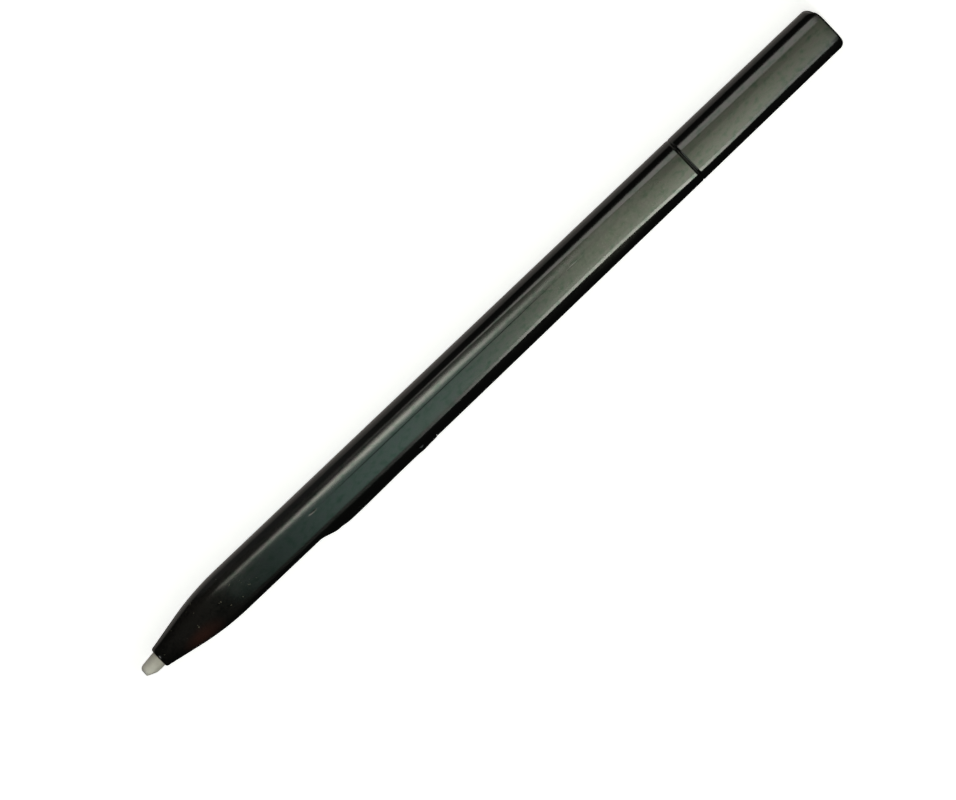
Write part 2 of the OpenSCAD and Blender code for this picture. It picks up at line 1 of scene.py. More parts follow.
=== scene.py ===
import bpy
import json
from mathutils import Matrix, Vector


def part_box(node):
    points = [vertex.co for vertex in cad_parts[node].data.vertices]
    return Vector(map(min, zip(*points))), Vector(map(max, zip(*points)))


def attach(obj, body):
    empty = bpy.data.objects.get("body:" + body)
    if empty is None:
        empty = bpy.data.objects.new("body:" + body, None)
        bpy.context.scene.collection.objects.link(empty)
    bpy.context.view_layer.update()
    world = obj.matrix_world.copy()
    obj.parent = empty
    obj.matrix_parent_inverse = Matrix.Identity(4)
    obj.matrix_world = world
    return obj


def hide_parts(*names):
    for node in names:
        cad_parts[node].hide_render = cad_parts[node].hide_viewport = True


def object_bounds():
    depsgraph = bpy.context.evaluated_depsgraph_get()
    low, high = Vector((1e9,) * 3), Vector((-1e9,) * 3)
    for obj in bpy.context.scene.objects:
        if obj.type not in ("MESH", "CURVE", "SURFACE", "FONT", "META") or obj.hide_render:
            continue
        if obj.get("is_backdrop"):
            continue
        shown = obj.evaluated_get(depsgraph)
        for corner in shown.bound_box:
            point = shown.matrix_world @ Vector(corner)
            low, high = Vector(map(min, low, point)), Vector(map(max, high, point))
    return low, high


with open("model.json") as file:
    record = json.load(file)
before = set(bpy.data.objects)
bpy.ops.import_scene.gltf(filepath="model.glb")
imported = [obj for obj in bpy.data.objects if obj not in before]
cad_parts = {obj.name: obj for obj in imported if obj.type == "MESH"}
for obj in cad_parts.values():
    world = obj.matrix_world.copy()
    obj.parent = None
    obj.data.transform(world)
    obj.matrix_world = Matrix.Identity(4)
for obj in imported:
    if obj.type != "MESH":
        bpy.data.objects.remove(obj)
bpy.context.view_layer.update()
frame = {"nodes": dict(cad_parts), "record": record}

"""A slim digitizer stylus: moulded casing, bullet nose, worn nib, hinged side key and tail cap.

The casing, the cap, the key and the nib are drawn here with their edge radii. The inner parts keep
their own shapes and get their finishes. Sizes are in millimetres on the pen's own axis, +X to the
tail, unless a docstring says metres.
"""
import json
import logging
import math
from dataclasses import dataclass
from enum import Enum
from typing import Iterable, Optional, Sequence, Union

import bmesh
import bpy
from mathutils import Vector

MM = 0.001
log = logging.getLogger("stylus")
Point2 = tuple[float, float]
Point3 = tuple[float, float, float]


# ---------------------------------------------------------------- small tools


def ease(low: float, high: float, value: float) -> float:
    """Return a soft step from 0 at low to 1 at high."""
    t = min(max((value - low) / (high - low), 0.0), 1.0)
    return t * t * (3.0 - 2.0 * t)


def ramp(low: float, high: float, value: float) -> float:
    """Return a straight step from 0 at low to 1 at high."""
    return min(max((value - low) / (high - low), 0.0), 1.0)


def mix(a: float, b: float, t: float) -> float:
    """Return the value a share t of the way from a to b."""
    return a * (1.0 - t) + b * t


def soft_min(a: float, b: float, width: float) -> float:
    """Return the smaller of two lengths, with the corner between them rounded over a width."""
    near = max(width - abs(a - b), 0.0) / width
    return min(a, b) - near * near * width / 4.0


def spread(low: float, high: float, count: int) -> list[float]:
    """Return evenly spaced values from low to high, both ends included.

    Args:
        low: The first value.
        high: The last value.
        count: How many gaps lie between them.

    Returns:
        count + 1 values.
    """
    return [mix(low, high, i / count) for i in range(count + 1)]


def rounded(start: Point2, corner: Point2, end: Point2, count: int) -> list[Point2]:
    """Round a corner with a quadratic curve.

    Args:
        start: Where the curve leaves the first side.
        corner: Where the two sides would meet.
        end: Where the curve joins the second side.
        count: How many gaps the curve has.

    Returns:
        count + 1 points, both ends included.
    """
    points = []
    for t in spread(0.0, 1.0, count):
        a, b, c = (1 - t) ** 2, 2 * t * (1 - t), t * t
        points.append(tuple(a * start[k] + b * corner[k] + c * end[k] for k in (0, 1)))
    return points


def linear(hex_colour: str) -> tuple[float, float, float, float]:
    """Turn an sRGB hex colour into linear light, with an alpha of one."""
    parts = [int(hex_colour[i:i + 2], 16) / 255 for i in (0, 2, 4)]
    light = [c / 12.92 if c <= 0.04045 else ((c + 0.055) / 1.055) ** 2.4 for c in parts]
    return (light[0], light[1], light[2], 1.0)


# ---------------------------------------------------------------- the pen's own axis


@dataclass(frozen=True)
class PenAxis:
    """The nib's axis in the model, and the stations along it, in millimetres.

    Attributes:
        side: Distance of the axis from the middle of the pen's box.
        height: Height of the axis over the ground.
        tip: Station of the nib's tip.
        nose: Station of the nose's front face.
        seam: Station of the barrel's rear edge.
        cap: Station of the cap's front edge.
        tail: Station of the tail's end.
        back: Half width on the side away from the key.
        crest: Half width on the key side, at the key's crest.
    """

    side: float
    height: float
    tip: float
    nose: float
    seam: float
    cap: float
    tail: float
    back: float
    crest: float

    @classmethod
    def measure(cls) -> "PenAxis":
        """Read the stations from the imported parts."""
        nib, barrel, cap, key = (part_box(n) for n in ("nib", "barrel", "tail_cap", "side_key"))
        side = (nib[0].y + nib[1].y) / 2 / MM
        return cls(
            side=side,
            height=(nib[0].z + nib[1].z) / 2 / MM,
            tip=nib[0].x / MM,
            nose=barrel[0].x / MM,
            seam=barrel[1].x / MM,
            cap=cap[0].x / MM,
            tail=cap[1].x / MM,
            back=cap[1].y / MM - side,
            crest=side - key[0].y / MM,
        )

    def place(self, x: float, y: float, z: float) -> Vector:
        """Turn millimetres on the pen's axis into metres in the model."""
        return Vector((x * MM, (y + self.side) * MM, (z + self.height) * MM))


# ---------------------------------------------------------------- mesh making


class Skin:
    """A closed skin shaped from a grid, one row per ring and one column per point of the ring."""

    def __init__(self, axis: PenAxis, rings: Sequence[Sequence[Point3]]) -> None:
        """Bend a grid into the rings given.

        Args:
            axis: Turns the rings' millimetres into the model's metres.
            rings: Rings of equal length, each closed on itself.
        """
        columns, rows = len(rings[0]), len(rings)
        self.mesh = bmesh.new()
        self.mesh.verts.layers.int.new("row")
        self.mesh.verts.layers.int.new("column")
        self.row = self.mesh.verts.layers.int["row"]
        self.column = self.mesh.verts.layers.int["column"]
        grid = bmesh.ops.create_grid(
            self.mesh, x_segments=columns, y_segments=rows - 1, size=1.0
        )
        for vert in grid["verts"]:
            i = round((vert.co.x + 1.0) / 2.0 * columns)
            j = round((vert.co.y + 1.0) / 2.0 * (rows - 1))
            vert[self.row], vert[self.column] = j, i
            vert.co = axis.place(*rings[j][i % columns])

    def cut(self, rows: range, columns: range) -> None:
        """Delete the faces whose corners all lie in a range of rows and columns."""
        gone = [
            f for f in self.mesh.faces
            if all(v[self.row] in rows and v[self.column] in columns for v in f.verts)
        ]
        bmesh.ops.delete(self.mesh, geom=gone, context="FACES")

    def weld(self) -> None:
        """Merge the grid's edges where they meet."""
        bmesh.ops.remove_doubles(self.mesh, verts=self.mesh.verts, dist=1e-8)
        bmesh.ops.dissolve_degenerate(self.mesh, edges=self.mesh.edges, dist=1e-8)

    def bridge(self) -> list[bmesh.types.BMEdge]:
        """Join the two open rims, and return the edges that were open."""
        rims = [e for e in self.mesh.edges if e.is_boundary]
        bmesh.ops.bridge_loops(self.mesh, edges=rims)
        return rims

    def soften(self, edges: Iterable[bmesh.types.BMEdge], radius: float) -> None:
        """Round some edges.

        Args:
            edges: The edges to round.
            radius: Width of the rounding, in millimetres.
        """
        bmesh.ops.bevel(
            self.mesh, geom=list(edges), offset=radius * MM, segments=3, profile=0.5,
            affect="EDGES", material=-1, clamp_overlap=True,
        )

    def finish(self, name: str) -> bpy.types.Object:
        """Make the object, with its faces pointing out."""
        return finish_piece(self.mesh, name)


def finish_piece(mesh: bmesh.types.BMesh, name: str) -> bpy.types.Object:
    """Turn a bmesh into an object at the origin.

    Args:
        mesh: The bmesh, which is freed.
        name: The new object's name.

    Returns:
        The object, smooth-shaded with its sharp edges marked.
    """
    bmesh.ops.recalc_face_normals(mesh, faces=mesh.faces)
    data = bpy.data.meshes.new(name)
    mesh.to_mesh(data)
    mesh.free()
    for polygon in data.polygons:
        polygon.use_smooth = True
    data.set_sharp_from_angle(angle=math.radians(38))
    piece = bpy.data.objects.new(name, data)
    bpy.context.scene.collection.objects.link(piece)
    weighted = piece.modifiers.new("flat_faces_stay_flat", "WEIGHTED_NORMAL")
    weighted.keep_sharp = True
    return piece


def add_drum(mesh: bmesh.types.BMesh, centre: Vector, half: float, radius: float,
             across: bool) -> None:
    """Add a short drum with rounded rims.

    Args:
        mesh: The bmesh that takes it.
        centre: Its middle, in the model's metres.
        half: Half its length, in millimetres.
        radius: Its radius, in millimetres.
        across: True for a drum along Z, False for one along Y.
    """
    made = bmesh.ops.create_cone(
        mesh, cap_ends=True, segments=32, radius1=radius * MM, radius2=radius * MM,
        depth=2 * half * MM,
    )
    for vert in made["verts"]:
        x, y, z = vert.co
        vert.co = Vector((x, y, z) if across else (x, z, y)) + centre
    rims = {e for v in made["verts"] for e in v.link_edges if len(e.link_faces) == 2
            and any(len(f.verts) > 4 for f in e.link_faces)}
    bmesh.ops.bevel(
        mesh, geom=list(rims), offset=0.06 * MM, segments=2, profile=0.5,
        affect="EDGES", material=-1,
    )


def add_block(mesh: bmesh.types.BMesh, low: Vector, high: Vector, radius: float) -> None:
    """Add a block with rounded edges between two corners, in the model's metres."""
    made = bmesh.ops.create_cube(mesh, size=1.0)
    for vert in made["verts"]:
        vert.co = Vector(mix(low[k], high[k], vert.co[k] + 0.5) for k in range(3))
    edges = {e for v in made["verts"] for e in v.link_edges}
    bmesh.ops.bevel(
        mesh, geom=list(edges), offset=radius * MM, segments=2, profile=0.5,
        affect="EDGES", material=-1,
    )


# ---------------------------------------------------------------- finishes


class Pattern(Enum):
    """How a finish varies over its surface."""

    GRAIN = "grain"
    BRUSHED = "brushed"
    WOUND = "wound"
    WOVEN = "woven"
    CELLS = "cells"


# Sums that a material's Math nodes make.
ADD, TAKE, TIMES = ({"operation": kind} for kind in ("ADD", "SUBTRACT", "MULTIPLY"))
TIMES_ADD = {"operation": "MULTIPLY_ADD"}
TAKE_CLAMPED, TIMES_CLAMPED = ({**kind, "use_clamp": True} for kind in (TAKE, TIMES))
# A wave texture's bands repeat at this share of its own unit.
WAVE_REPEAT = 2.0 * math.pi / 20.0
Value = Union[bpy.types.NodeSocket, float, Sequence[float], None]


class Nodes:
    """A material's node tree, with one function that adds a node."""

    def __init__(self, name: str) -> None:
        """Start an empty material."""
        self.material = bpy.data.materials.new(name)
        self.material.use_nodes = True
        self.tree = self.material.node_tree
        self.tree.nodes.clear()

    def add(self, kind: str, *values: Value, settings: Optional[dict] = None,
            stops: Sequence[tuple[float, Sequence[float]]] = (), out: Union[int, str] = 0,
            **inputs: Value) -> Optional[bpy.types.NodeSocket]:
        """Add a node with its settings and its links.

        Args:
            kind: The node's type name, without the ShaderNode that they all begin with.
            *values: Values or output sockets for its first inputs, in order.
            settings: The node's own properties.
            stops: A colour ramp's positions and linear colours.
            out: The output that is wanted.
            **inputs: Values or output sockets for other inputs, with _ for each space in a name.

        Returns:
            The output socket, or None from a node that has none.
        """
        made = self.tree.nodes.new("ShaderNode" + kind)
        for key, value in (settings or {}).items():
            setattr(made, key, value)
        if stops:
            elements = made.color_ramp.elements
            while len(elements) < len(stops):
                elements.new(0.5)
            for element, (position, colour) in zip(elements, stops):
                element.position, element.color = position, colour
        pairs = list(zip(made.inputs, values))
        for key, value in inputs.items():
            wanted = key.replace("_", " ").lower()
            pairs.append((next(
                s for s in made.inputs if s.enabled and s.name.lower() == wanted
            ), value))
        for socket, value in pairs:
            if isinstance(value, bpy.types.NodeSocket):
                self.tree.links.new(value, socket)
            else:
                socket.default_value = value
        return made.outputs[out] if len(made.outputs) else None

    def grain(self, size: float, stretch: Sequence[float] = (1, 1, 1), detail: float = 3.0,
              shift: Sequence[float] = (0, 0, 0)) -> bpy.types.NodeSocket:
        """Lay an uneven grain on the object's own coordinates.

        Args:
            size: Size of its features, in millimetres.
            stretch: How much longer the features are along each axis.
            detail: How much finer detail it holds.
            shift: Where the pattern starts, in metres.

        Returns:
            The grain's value, from 0 to 1.
        """
        moved = self.add("Mapping", Vector=self.add("TexCoord", out="Object"), Location=shift,
                         Scale=[1.0 / s for s in stretch])
        return self.add("TexNoise", Vector=moved, Scale=1.0 / (size * MM), Detail=detail,
                        Roughness=0.55)

    def close(self, **inputs: Value) -> bpy.types.Material:
        """Add the surface shader and the output, and return the material."""
        self.add("OutputMaterial", Surface=self.add("BsdfPrincipled", **inputs))
        return self.material


@dataclass(frozen=True)
class Finish:
    """A finish for one material, made one way.

    Attributes:
        name: The material and how its surface was made.
        colour: Its main colour, as sRGB hex.
        second: The colour it varies towards.
        grain: Size of its pattern in millimetres.
        roughness: Its mean roughness.
        spread: How far the roughness varies.
        metallic: One for bare metal.
        ior: Refraction index; metals keep the default.
        relief: Depth of its bump, in millimetres.
        pattern: How it varies.
    """

    name: str
    colour: str
    second: str
    grain: float
    roughness: float
    spread: float = 0.1
    metallic: float = 0.0
    ior: float = 1.5
    relief: float = 0.004
    pattern: Pattern = Pattern.GRAIN

    def pattern_value(self, nodes: Nodes) -> bpy.types.NodeSocket:
        """Add the finish's pattern and return its value."""
        if self.pattern is Pattern.GRAIN:
            return nodes.grain(self.grain)
        if self.pattern is Pattern.BRUSHED:
            return nodes.grain(self.grain, stretch=(18, 1, 1), detail=4)
        place = nodes.add("TexCoord", out="Object")
        scale = 1.0 / (self.grain * MM)
        if self.pattern is Pattern.CELLS:
            return nodes.add("TexVoronoi", Vector=place, Scale=scale)
        bands = scale * WAVE_REPEAT
        if self.pattern is Pattern.WOUND:
            return nodes.add("TexWave", settings={"bands_direction": "X"}, out="Fac", Vector=place,
                             Scale=bands, Distortion=0.4, Detail=2.0)
        weft, warp = (
            nodes.add("TexWave", settings={"bands_direction": way}, out="Fac", Vector=place,
                      Scale=bands)
            for way in ("X", "Z")
        )
        return nodes.add("Math", weft, warp, settings=TIMES)

    def build(self) -> bpy.types.Material:
        """Make the material."""
        nodes = Nodes(self.name)
        value = self.pattern_value(nodes)
        colour = nodes.add("ValToRGB", value,
                           stops=[(0.3, linear(self.colour)), (0.75, linear(self.second))])
        rough = nodes.add("MapRange", Value=value, To_Min=self.roughness - self.spread / 2,
                          To_Max=self.roughness + self.spread / 2)
        bump = nodes.add("Bump", Height=value, Strength=0.6, Distance=self.relief * MM)
        return nodes.close(Base_Color=colour, Metallic=self.metallic, Roughness=rough,
                           IOR=self.ior, Normal=bump)


@dataclass(frozen=True)
class Patch:
    """A soft patch on the casing, in millimetres on the pen's axis.

    Attributes:
        middle: Where its middle lies.
        reach: Its half sizes along each axis.
    """

    middle: Point3
    reach: Point3

    def value(self, nodes: Nodes, axis: PenAxis) -> bpy.types.NodeSocket:
        """Add the patch.

        Args:
            nodes: The material's nodes.
            axis: The pen's axis.

        Returns:
            A value that is 1 in the middle and 0 past the rim.
        """
        middle = axis.place(*self.middle)
        scale = [1.0 / (r * MM) for r in self.reach]
        moved = nodes.add("Mapping", Vector=nodes.add("TexCoord", out="Object"), Scale=scale,
                          Location=[-middle[k] * scale[k] for k in range(3)])
        return nodes.add("TexGradient", settings={"gradient_type": "SPHERICAL"}, out="Fac",
                         Vector=moved)


@dataclass(frozen=True)
class CasingFinish:
    """Moulded black ABS that years of handling have half polished.

    The eye gets a hazy satin sheen, hairlines along the pen, a patch behind the middle that wear
    roughens and a painted sheen lightens, a painted sheen over the nose's upper face, pale dust
    caught on the nose, and a faint brown stain on the nose's key side.

    Attributes:
        name: The material and how its surface was made.
        black: The resin's colour.
        painted_sheen: The colour of a painted sheen on the upper face behind the middle.
        stain: The colour of the stain.
        dust: The colour of the dust.
        painted_nose_sheen: The colour of a painted sheen on the nose's upper face.
        roughness: The mean roughness.
        ior: Refraction index.
        sheen_and_wear_patch: Where wear roughens the resin and a painted sheen lightens it.
        nose_sheen_patch: Where the painted sheen on the nose lies.
        stained_patch: Where the stain lies.
        dusty_patch: Where the pale dust is caught.
    """

    name: str = "abs_moulded_satin_black"
    black: str = "080808"
    painted_sheen: str = "48483e"
    stain: str = "2c1a16"
    dust: str = "605d50"
    painted_nose_sheen: str = "191716"
    roughness: float = 0.17
    ior: float = 1.53
    sheen_and_wear_patch: Patch = Patch((23.0, -0.6, 3.3), (14.0, 2.8, 3.0))
    nose_sheen_patch: Patch = Patch((-54.0, 0.4, 3.4), (15.0, 4.4, 4.2))
    stained_patch: Patch = Patch((-55.4, -2.2, 2.2), (4.6, 2.0, 3.4))
    dusty_patch: Patch = Patch((-52.0, 0.0, 2.0), (13.0, 5.0, 6.0))

    def build(self, axis: PenAxis) -> bpy.types.Material:
        """Make the material for a pen on this axis."""
        nodes = Nodes(self.name)
        # Hairlines run along the pen, about 0.05 mm wide, drawn twice as wide so that they show.
        hair = nodes.grain(0.11, stretch=(60, 1, 1))
        cloud = nodes.grain(2.6, stretch=(2.5, 1, 1), detail=4)
        pits = nodes.grain(0.4)
        sheen_and_wear_area, top, side, near = (
            patch.value(nodes, axis) for patch in
            (self.sheen_and_wear_patch, self.nose_sheen_patch, self.stained_patch, self.dusty_patch)
        )
        uneven = nodes.add("Math", pits, 0.45, settings=TAKE)
        uneven = nodes.add("Math", cloud, uneven, settings=ADD)
        # Behind the middle, wear makes the resin rougher, and a painted sheen lightens its colour.
        sheen_and_wear_area = nodes.add("Math", sheen_and_wear_area, 1.5, settings=TIMES)
        worn = nodes.add("Math", sheen_and_wear_area, uneven, settings=TIMES_CLAMPED)
        # A patchy lighter colour over the nose's upper face is a painted sheen.
        patchy = nodes.add("Math", nodes.add("Math", cloud, pits, settings=ADD), 0.7, settings=TAKE)
        patchy = nodes.add("Math", patchy, 4.0, settings=TIMES)
        nose_sheen_share = nodes.add("Math", top, patchy, settings=TIMES_CLAMPED)
        side = nodes.add("Math", side, 0.12, settings=TAKE_CLAMPED)
        brown = nodes.add("Math", side, nodes.add("Math", cloud, 2.6, settings=TIMES),
                          settings=TIMES_CLAMPED)
        speck = nodes.grain(0.55, detail=1, shift=(0.3, 0.1, 0.7))
        speck = nodes.add("Math", nodes.add("Math", speck, 0.735, settings=TAKE), 12.0,
                          settings=TIMES_CLAMPED)
        near = nodes.add("Math", near, 1.5, settings=TIMES_CLAMPED)
        speck = nodes.add("Math", speck, near, settings=TIMES)
        # The layers over the black are a painted sheen on the nose's top, a painted sheen behind
        # the middle, the brown stain and the pale dust.
        colour: Value = linear(self.black)
        for share, layer in ((nose_sheen_share, self.painted_nose_sheen), (worn, self.painted_sheen), (brown, self.stain),
                             (speck, self.dust)):
            colour = nodes.add("Mix", settings={"data_type": "RGBA"}, out=2, Factor=share, A=colour,
                               B=linear(layer))
        rough: Value = self.roughness - 0.045
        for value, weight in ((hair, 0.03), (cloud, 0.06), (worn, 0.12)):
            rough = nodes.add("Math", value, weight, rough, settings=TIMES_ADD)
        # A thin film of grease tints the sheen, a little green here and a little pink there.
        film = nodes.grain(0.7, stretch=(1.6, 1, 1), detail=5, shift=(0.5, 0.2, 0.1))
        tint = nodes.add("ValToRGB", film, stops=[
            (0.3, (0.58, 0.76, 0.66, 1.0)), (0.5, (0.95, 0.98, 0.95, 1.0)),
            (0.7, (1.0, 0.93, 0.98, 1.0)),
        ])
        height: Value = speck
        for value, weight in ((pits, 0.5), (hair, 0.4)):
            height = nodes.add("Math", value, weight, height, settings=TIMES_ADD)
        bump = nodes.add("Bump", Height=height, Strength=0.2, Distance=0.005 * MM)
        return nodes.close(Base_Color=colour, Roughness=rough, IOR=self.ior, Specular_Tint=tint,
                           Normal=bump)


@dataclass(frozen=True)
class NibFinish:
    """Turned acetal: milky and slightly translucent, scuffed and greyed at the worn tip.

    Attributes:
        name: The material and how its surface was made.
        clean: The colour near the nose.
        worn: The colour at the tip.
    """

    name: str = "acetal_turned_milky"
    clean: str = "b6b1aa"
    worn: str = "d4d0ca"

    def build(self, axis: PenAxis) -> bpy.types.Material:
        """Make the material for a pen on this axis."""
        nodes = Nodes(self.name)
        along = nodes.add("SeparateXYZ", Vector=nodes.add("TexCoord", out="Object"), out="X")
        share = nodes.add("MapRange", Value=along, From_Min=axis.tip * MM, From_Max=axis.nose * MM)
        cloud = nodes.grain(0.5, detail=4)
        uneven = nodes.add("Math", cloud, 0.5, settings=TAKE)
        share = nodes.add("Math", uneven, 0.5, share, settings=TIMES_ADD)
        colour = nodes.add("ValToRGB", share,
                           stops=[(0.1, linear(self.worn)), (0.95, linear(self.clean))])
        lathe = nodes.grain(0.06, stretch=(1, 12, 12), detail=2)
        bump = nodes.add("Bump", Height=nodes.add("Math", lathe, cloud, settings=ADD), Strength=0.4,
                         Distance=0.01 * MM)
        rough = nodes.add("MapRange", Value=cloud, To_Min=0.4, To_Max=0.62)
        return nodes.close(
            Base_Color=colour, Roughness=rough, IOR=1.48, Normal=bump, Subsurface_Weight=0.35,
            Subsurface_Radius=(1.0, 0.95, 0.85), Subsurface_Scale=0.5 * MM,
        )


# ---------------------------------------------------------------- the casing


@dataclass(frozen=True)
class Casing:
    """The outer and inner shape that the barrel and the cap share.

    A ring starts at the middle of the key side, climbs over the top to the middle of the back, and
    returns underneath. Columns keep to the same feature from end to end: slot edge, corner, crease.

    Attributes:
        axis: The pen's axis and stations.
        radius: Radius of the round sides.
        offset: How far their centre lies towards the key.
        slot_half: Half height of the key slot.
        key_side: Half width on the key side, behind the key.
        tail_side: Half width on the key side, at the tail.
        key_climb: Stations between which the key side steps out to the key.
        key_rear: Station from which the key side tapers to the tail.
        back_edge: Where the upper face meets the back, and how far that draws in to the tail.
        back_edge_run: Stations between which it draws in.
        back_fillet: Rounding there at the nose and in the middle, and its growth to the tail.
        draw: How far the facet's edge on the key side draws in, in the middle and at the tail.
        crease: Where the crease on the upper face lies.
        crease_depth: Depth of the crease.
        crease_in: Stations where the crease starts and is at its full depth.
        crease_out: Stations where it begins to fade and ends.
        strip_lean: Slope of the strip behind the crease, at the front and rear, in degrees.
        strip_run: Stations between which that slope changes.
        swell: How fast the facet curves down towards the key side, per millimetre.
        corner_radius: Radius of the facet's edge on the key side.
        wall: Wall thickness.
        nose_length: Length of the nose.
        nose_plan: Radius of the nose's arc and slope of its taper, seen from above.
        nose_side: The same, seen from the side.
        round_key: Stations between which the section turns round on the key side.
        round_back: The same on the back.
        counts: How many gaps each stretch of a half ring has.
    """

    axis: PenAxis
    radius: float = 3.9
    offset: float = 0.38
    slot_half: float = 1.55
    key_side: float = 4.245
    tail_side: float = 3.785
    key_climb: Point2 = (-34.9, -31.5)
    key_rear: float = -12.9
    back_edge: Point2 = (1.80, 1.12)
    back_edge_run: Point2 = (-2.0, 64.0)
    back_fillet: Point3 = (0.9, 0.45, 0.25)
    draw: Point2 = (0.3, 0.18)
    crease: float = 0.03
    crease_depth: float = 0.055
    crease_in: Point2 = (-34.0, -22.0)
    crease_out: Point2 = (4.0, 18.0)
    strip_lean: Point2 = (13.0, 4.0)
    strip_run: Point2 = (4.0, 38.0)
    swell: float = 0.0122
    corner_radius: float = 1.05
    wall: float = 1.0
    nose_length: float = 13.8
    nose_plan: Point2 = (42.0, 0.205)
    nose_side: Point2 = (50.0, 0.19)
    round_key: Point2 = (-59.5, -45.0)
    round_back: Point2 = (-57.0, -13.0)
    counts: tuple[int, ...] = (6, 10, 6, 10, 4, 14, 6, 16)

    @property
    def nose_back(self) -> float:
        """Station where the nose begins."""
        return self.axis.nose + self.nose_length

    def bullet(self, x: float, half: float, curve: float, slope: float) -> float:
        """Return the nose's half size at a station.

        Args:
            x: The station.
            half: Half size of the body behind the nose.
            curve: Radius of the nose's arc.
            slope: Slope of the straight taper in front of the arc.

        Returns:
            The half size, which is half behind the nose.
        """
        run = max(self.nose_back - x, 0.0)
        bend = curve * math.sin(math.atan(slope))
        arc = min(run, bend)
        return half - (curve - math.sqrt(curve * curve - arc * arc)) - slope * max(run - bend, 0.0)

    def key_half(self, x: float) -> float:
        """Return the half width on the key side at a station."""
        climb = ease(*self.key_climb, x)
        behind = mix(self.key_side, self.tail_side, ramp(self.key_rear, self.axis.tail, x))
        return mix(self.axis.back, behind, climb)

    def top_edge(self, x: float) -> float:
        """Return where the upper face meets the back, which draws in towards the tail."""
        return self.back_edge[0] - self.back_edge[1] * ramp(*self.back_edge_run, x)

    def edge_draw(self, x: float) -> float:
        """Return how far the facet's edge on the key side is drawn in at a station."""
        middle, tail = self.draw
        return (middle * ease(-24.0, 20.0, x) * (1.0 - ease(22.0, 40.0, x))
                + tail * ease(42.0, 58.0, x))

    def key_curve(self, z: float, x: float) -> float:
        """Return the key side's place across the pen at a height."""
        across = self.offset + math.sqrt(max(self.radius ** 2 - z * z, 0.0))
        softness = mix(0.5, 0.12, ease(-36.0, -31.0, x))
        return -soft_min(across, self.key_half(x), softness)

    def half_ring(self, x: float) -> list[Point2]:
        """Return the upper half of the body's section, from the key side to the back."""
        n = self.counts
        flat, back = self.axis.height, self.axis.back
        corner_z = flat - self.swell * 6.5
        corner_angle = math.asin(corner_z / self.radius)
        corner_y = -self.offset - self.radius * math.cos(corner_angle)
        trim = self.corner_radius * math.tan((math.pi / 2 - corner_angle) / 2)
        low_angle = corner_angle - trim / self.radius
        points = [(self.key_curve(z, x), z) for z in spread(0.0, self.slot_half, n[0])]
        start_angle = math.asin(self.slot_half / self.radius)
        for a in spread(start_angle, low_angle, n[1])[1:]:
            z = self.radius * math.sin(a)
            points.append((self.key_curve(z, x), z))
        points += rounded(points[-1], (corner_y, corner_z + 0.01),
                          (corner_y + trim, flat - self.swell * (corner_y + trim) ** 2), n[2])[1:]
        draw = self.edge_draw(x)
        points = [(y + draw * ease(1.7, 3.0, z), z) for y, z in points]
        depth = self.crease_depth * ease(*self.crease_in, x) * (1.0 - ease(*self.crease_out, x))
        groove = depth + 0.001
        points += [(y, flat - self.swell * min(y, 0.0) ** 2)
                   for y in spread(corner_y + trim + draw, self.crease - groove, n[3])[1:]]
        for i, y in enumerate(spread(self.crease - groove, self.crease + groove, n[4])[1:], 1):
            points.append((y, flat - depth * math.sin(math.pi * i / n[4])))
        # The strip behind the crease falls away in a shallow convex curve.
        edge = self.top_edge(x)
        first = self.crease + groove
        lean = mix(*map(math.radians, self.strip_lean), ease(*self.strip_run, x))
        width = edge - first

        def strip(y: float) -> float:
            """Return the strip's height at a place across the pen."""
            u = y - first
            return flat - 0.012 * u - (lean - 0.012) * u * u / (2.0 * width)

        edge_z = strip(edge)
        centre = (back * back - edge_z * edge_z - edge * edge) / (2.0 * (back - edge))
        bend = math.atan2(edge_z, edge - centre)
        nose, middle, growth = self.back_fillet
        size = mix(nose, middle, ease(-30.0, -12.0, x)) + growth * ramp(5.0, 60.0, x)
        trim = size * math.tan((math.pi / 2 - bend - lean) / 2.0 + 0.08)
        points += [(y, strip(y)) for y in spread(first, edge - trim, n[5])[1:]]
        arc = back - centre
        high = bend - trim / arc
        end = (centre + arc * math.cos(high), arc * math.sin(high))
        points += rounded(points[-1], (edge, edge_z), end, n[6])[1:]
        points += [(centre + arc * math.cos(a), arc * math.sin(a))
                   for a in spread(high, 0.0, n[7])[1:]]
        return points

    def rounder(self, point: Point2, x: float) -> Point2:
        """Draw a point of the section towards a rounder one, as the body turns into the nose."""
        y, z = point
        blend = mix(1.0 - ease(*self.round_key, x), 1.0 - ease(*self.round_back, x),
                    ease(-1.5, 1.0, y))
        if blend <= 0.0 or (y == 0.0 and z == 0.0):
            return point
        power = mix(2.0, 2.7, ease(self.axis.nose, self.nose_back, x))
        angle = math.atan2(z, y)
        wide, high = self.axis.back, self.axis.height
        reach = (abs(math.cos(angle) / wide) ** power
                 + abs(math.sin(angle) / high) ** power) ** (-1.0 / power)
        return (mix(y, reach * math.cos(angle), blend), mix(z, reach * math.sin(angle), blend))

    def outer(self, x: float, inset: float = 0.0,
              side_inset: Optional[float] = None) -> list[Point2]:
        """Return the body's full section at a station.

        Args:
            x: The station.
            inset: How far the faces are drawn in, in millimetres.
            side_inset: The same for the round sides, when it differs.

        Returns:
            The points of the ring.
        """
        wide = self.bullet(x, self.axis.back, *self.nose_plan)
        high = self.bullet(x, self.axis.height, *self.nose_side)
        sy, sz = wide / self.axis.back, high / self.axis.height
        half = [self.rounder(p, x) for p in self.half_ring(x)]
        half = [(y * sy, z * sz) for y, z in half]
        if inset:
            across = inset if side_inset is None else side_inset
            half = [(y * (1.0 - across / wide), z * (1.0 - inset / high)) for y, z in half]
        return self.closed(half)

    @staticmethod
    def closed(half: Sequence[Point2]) -> list[Point2]:
        """Return a full ring from its upper half."""
        return list(half) + [(y, -z) for y, z in reversed(half[1:-1])]

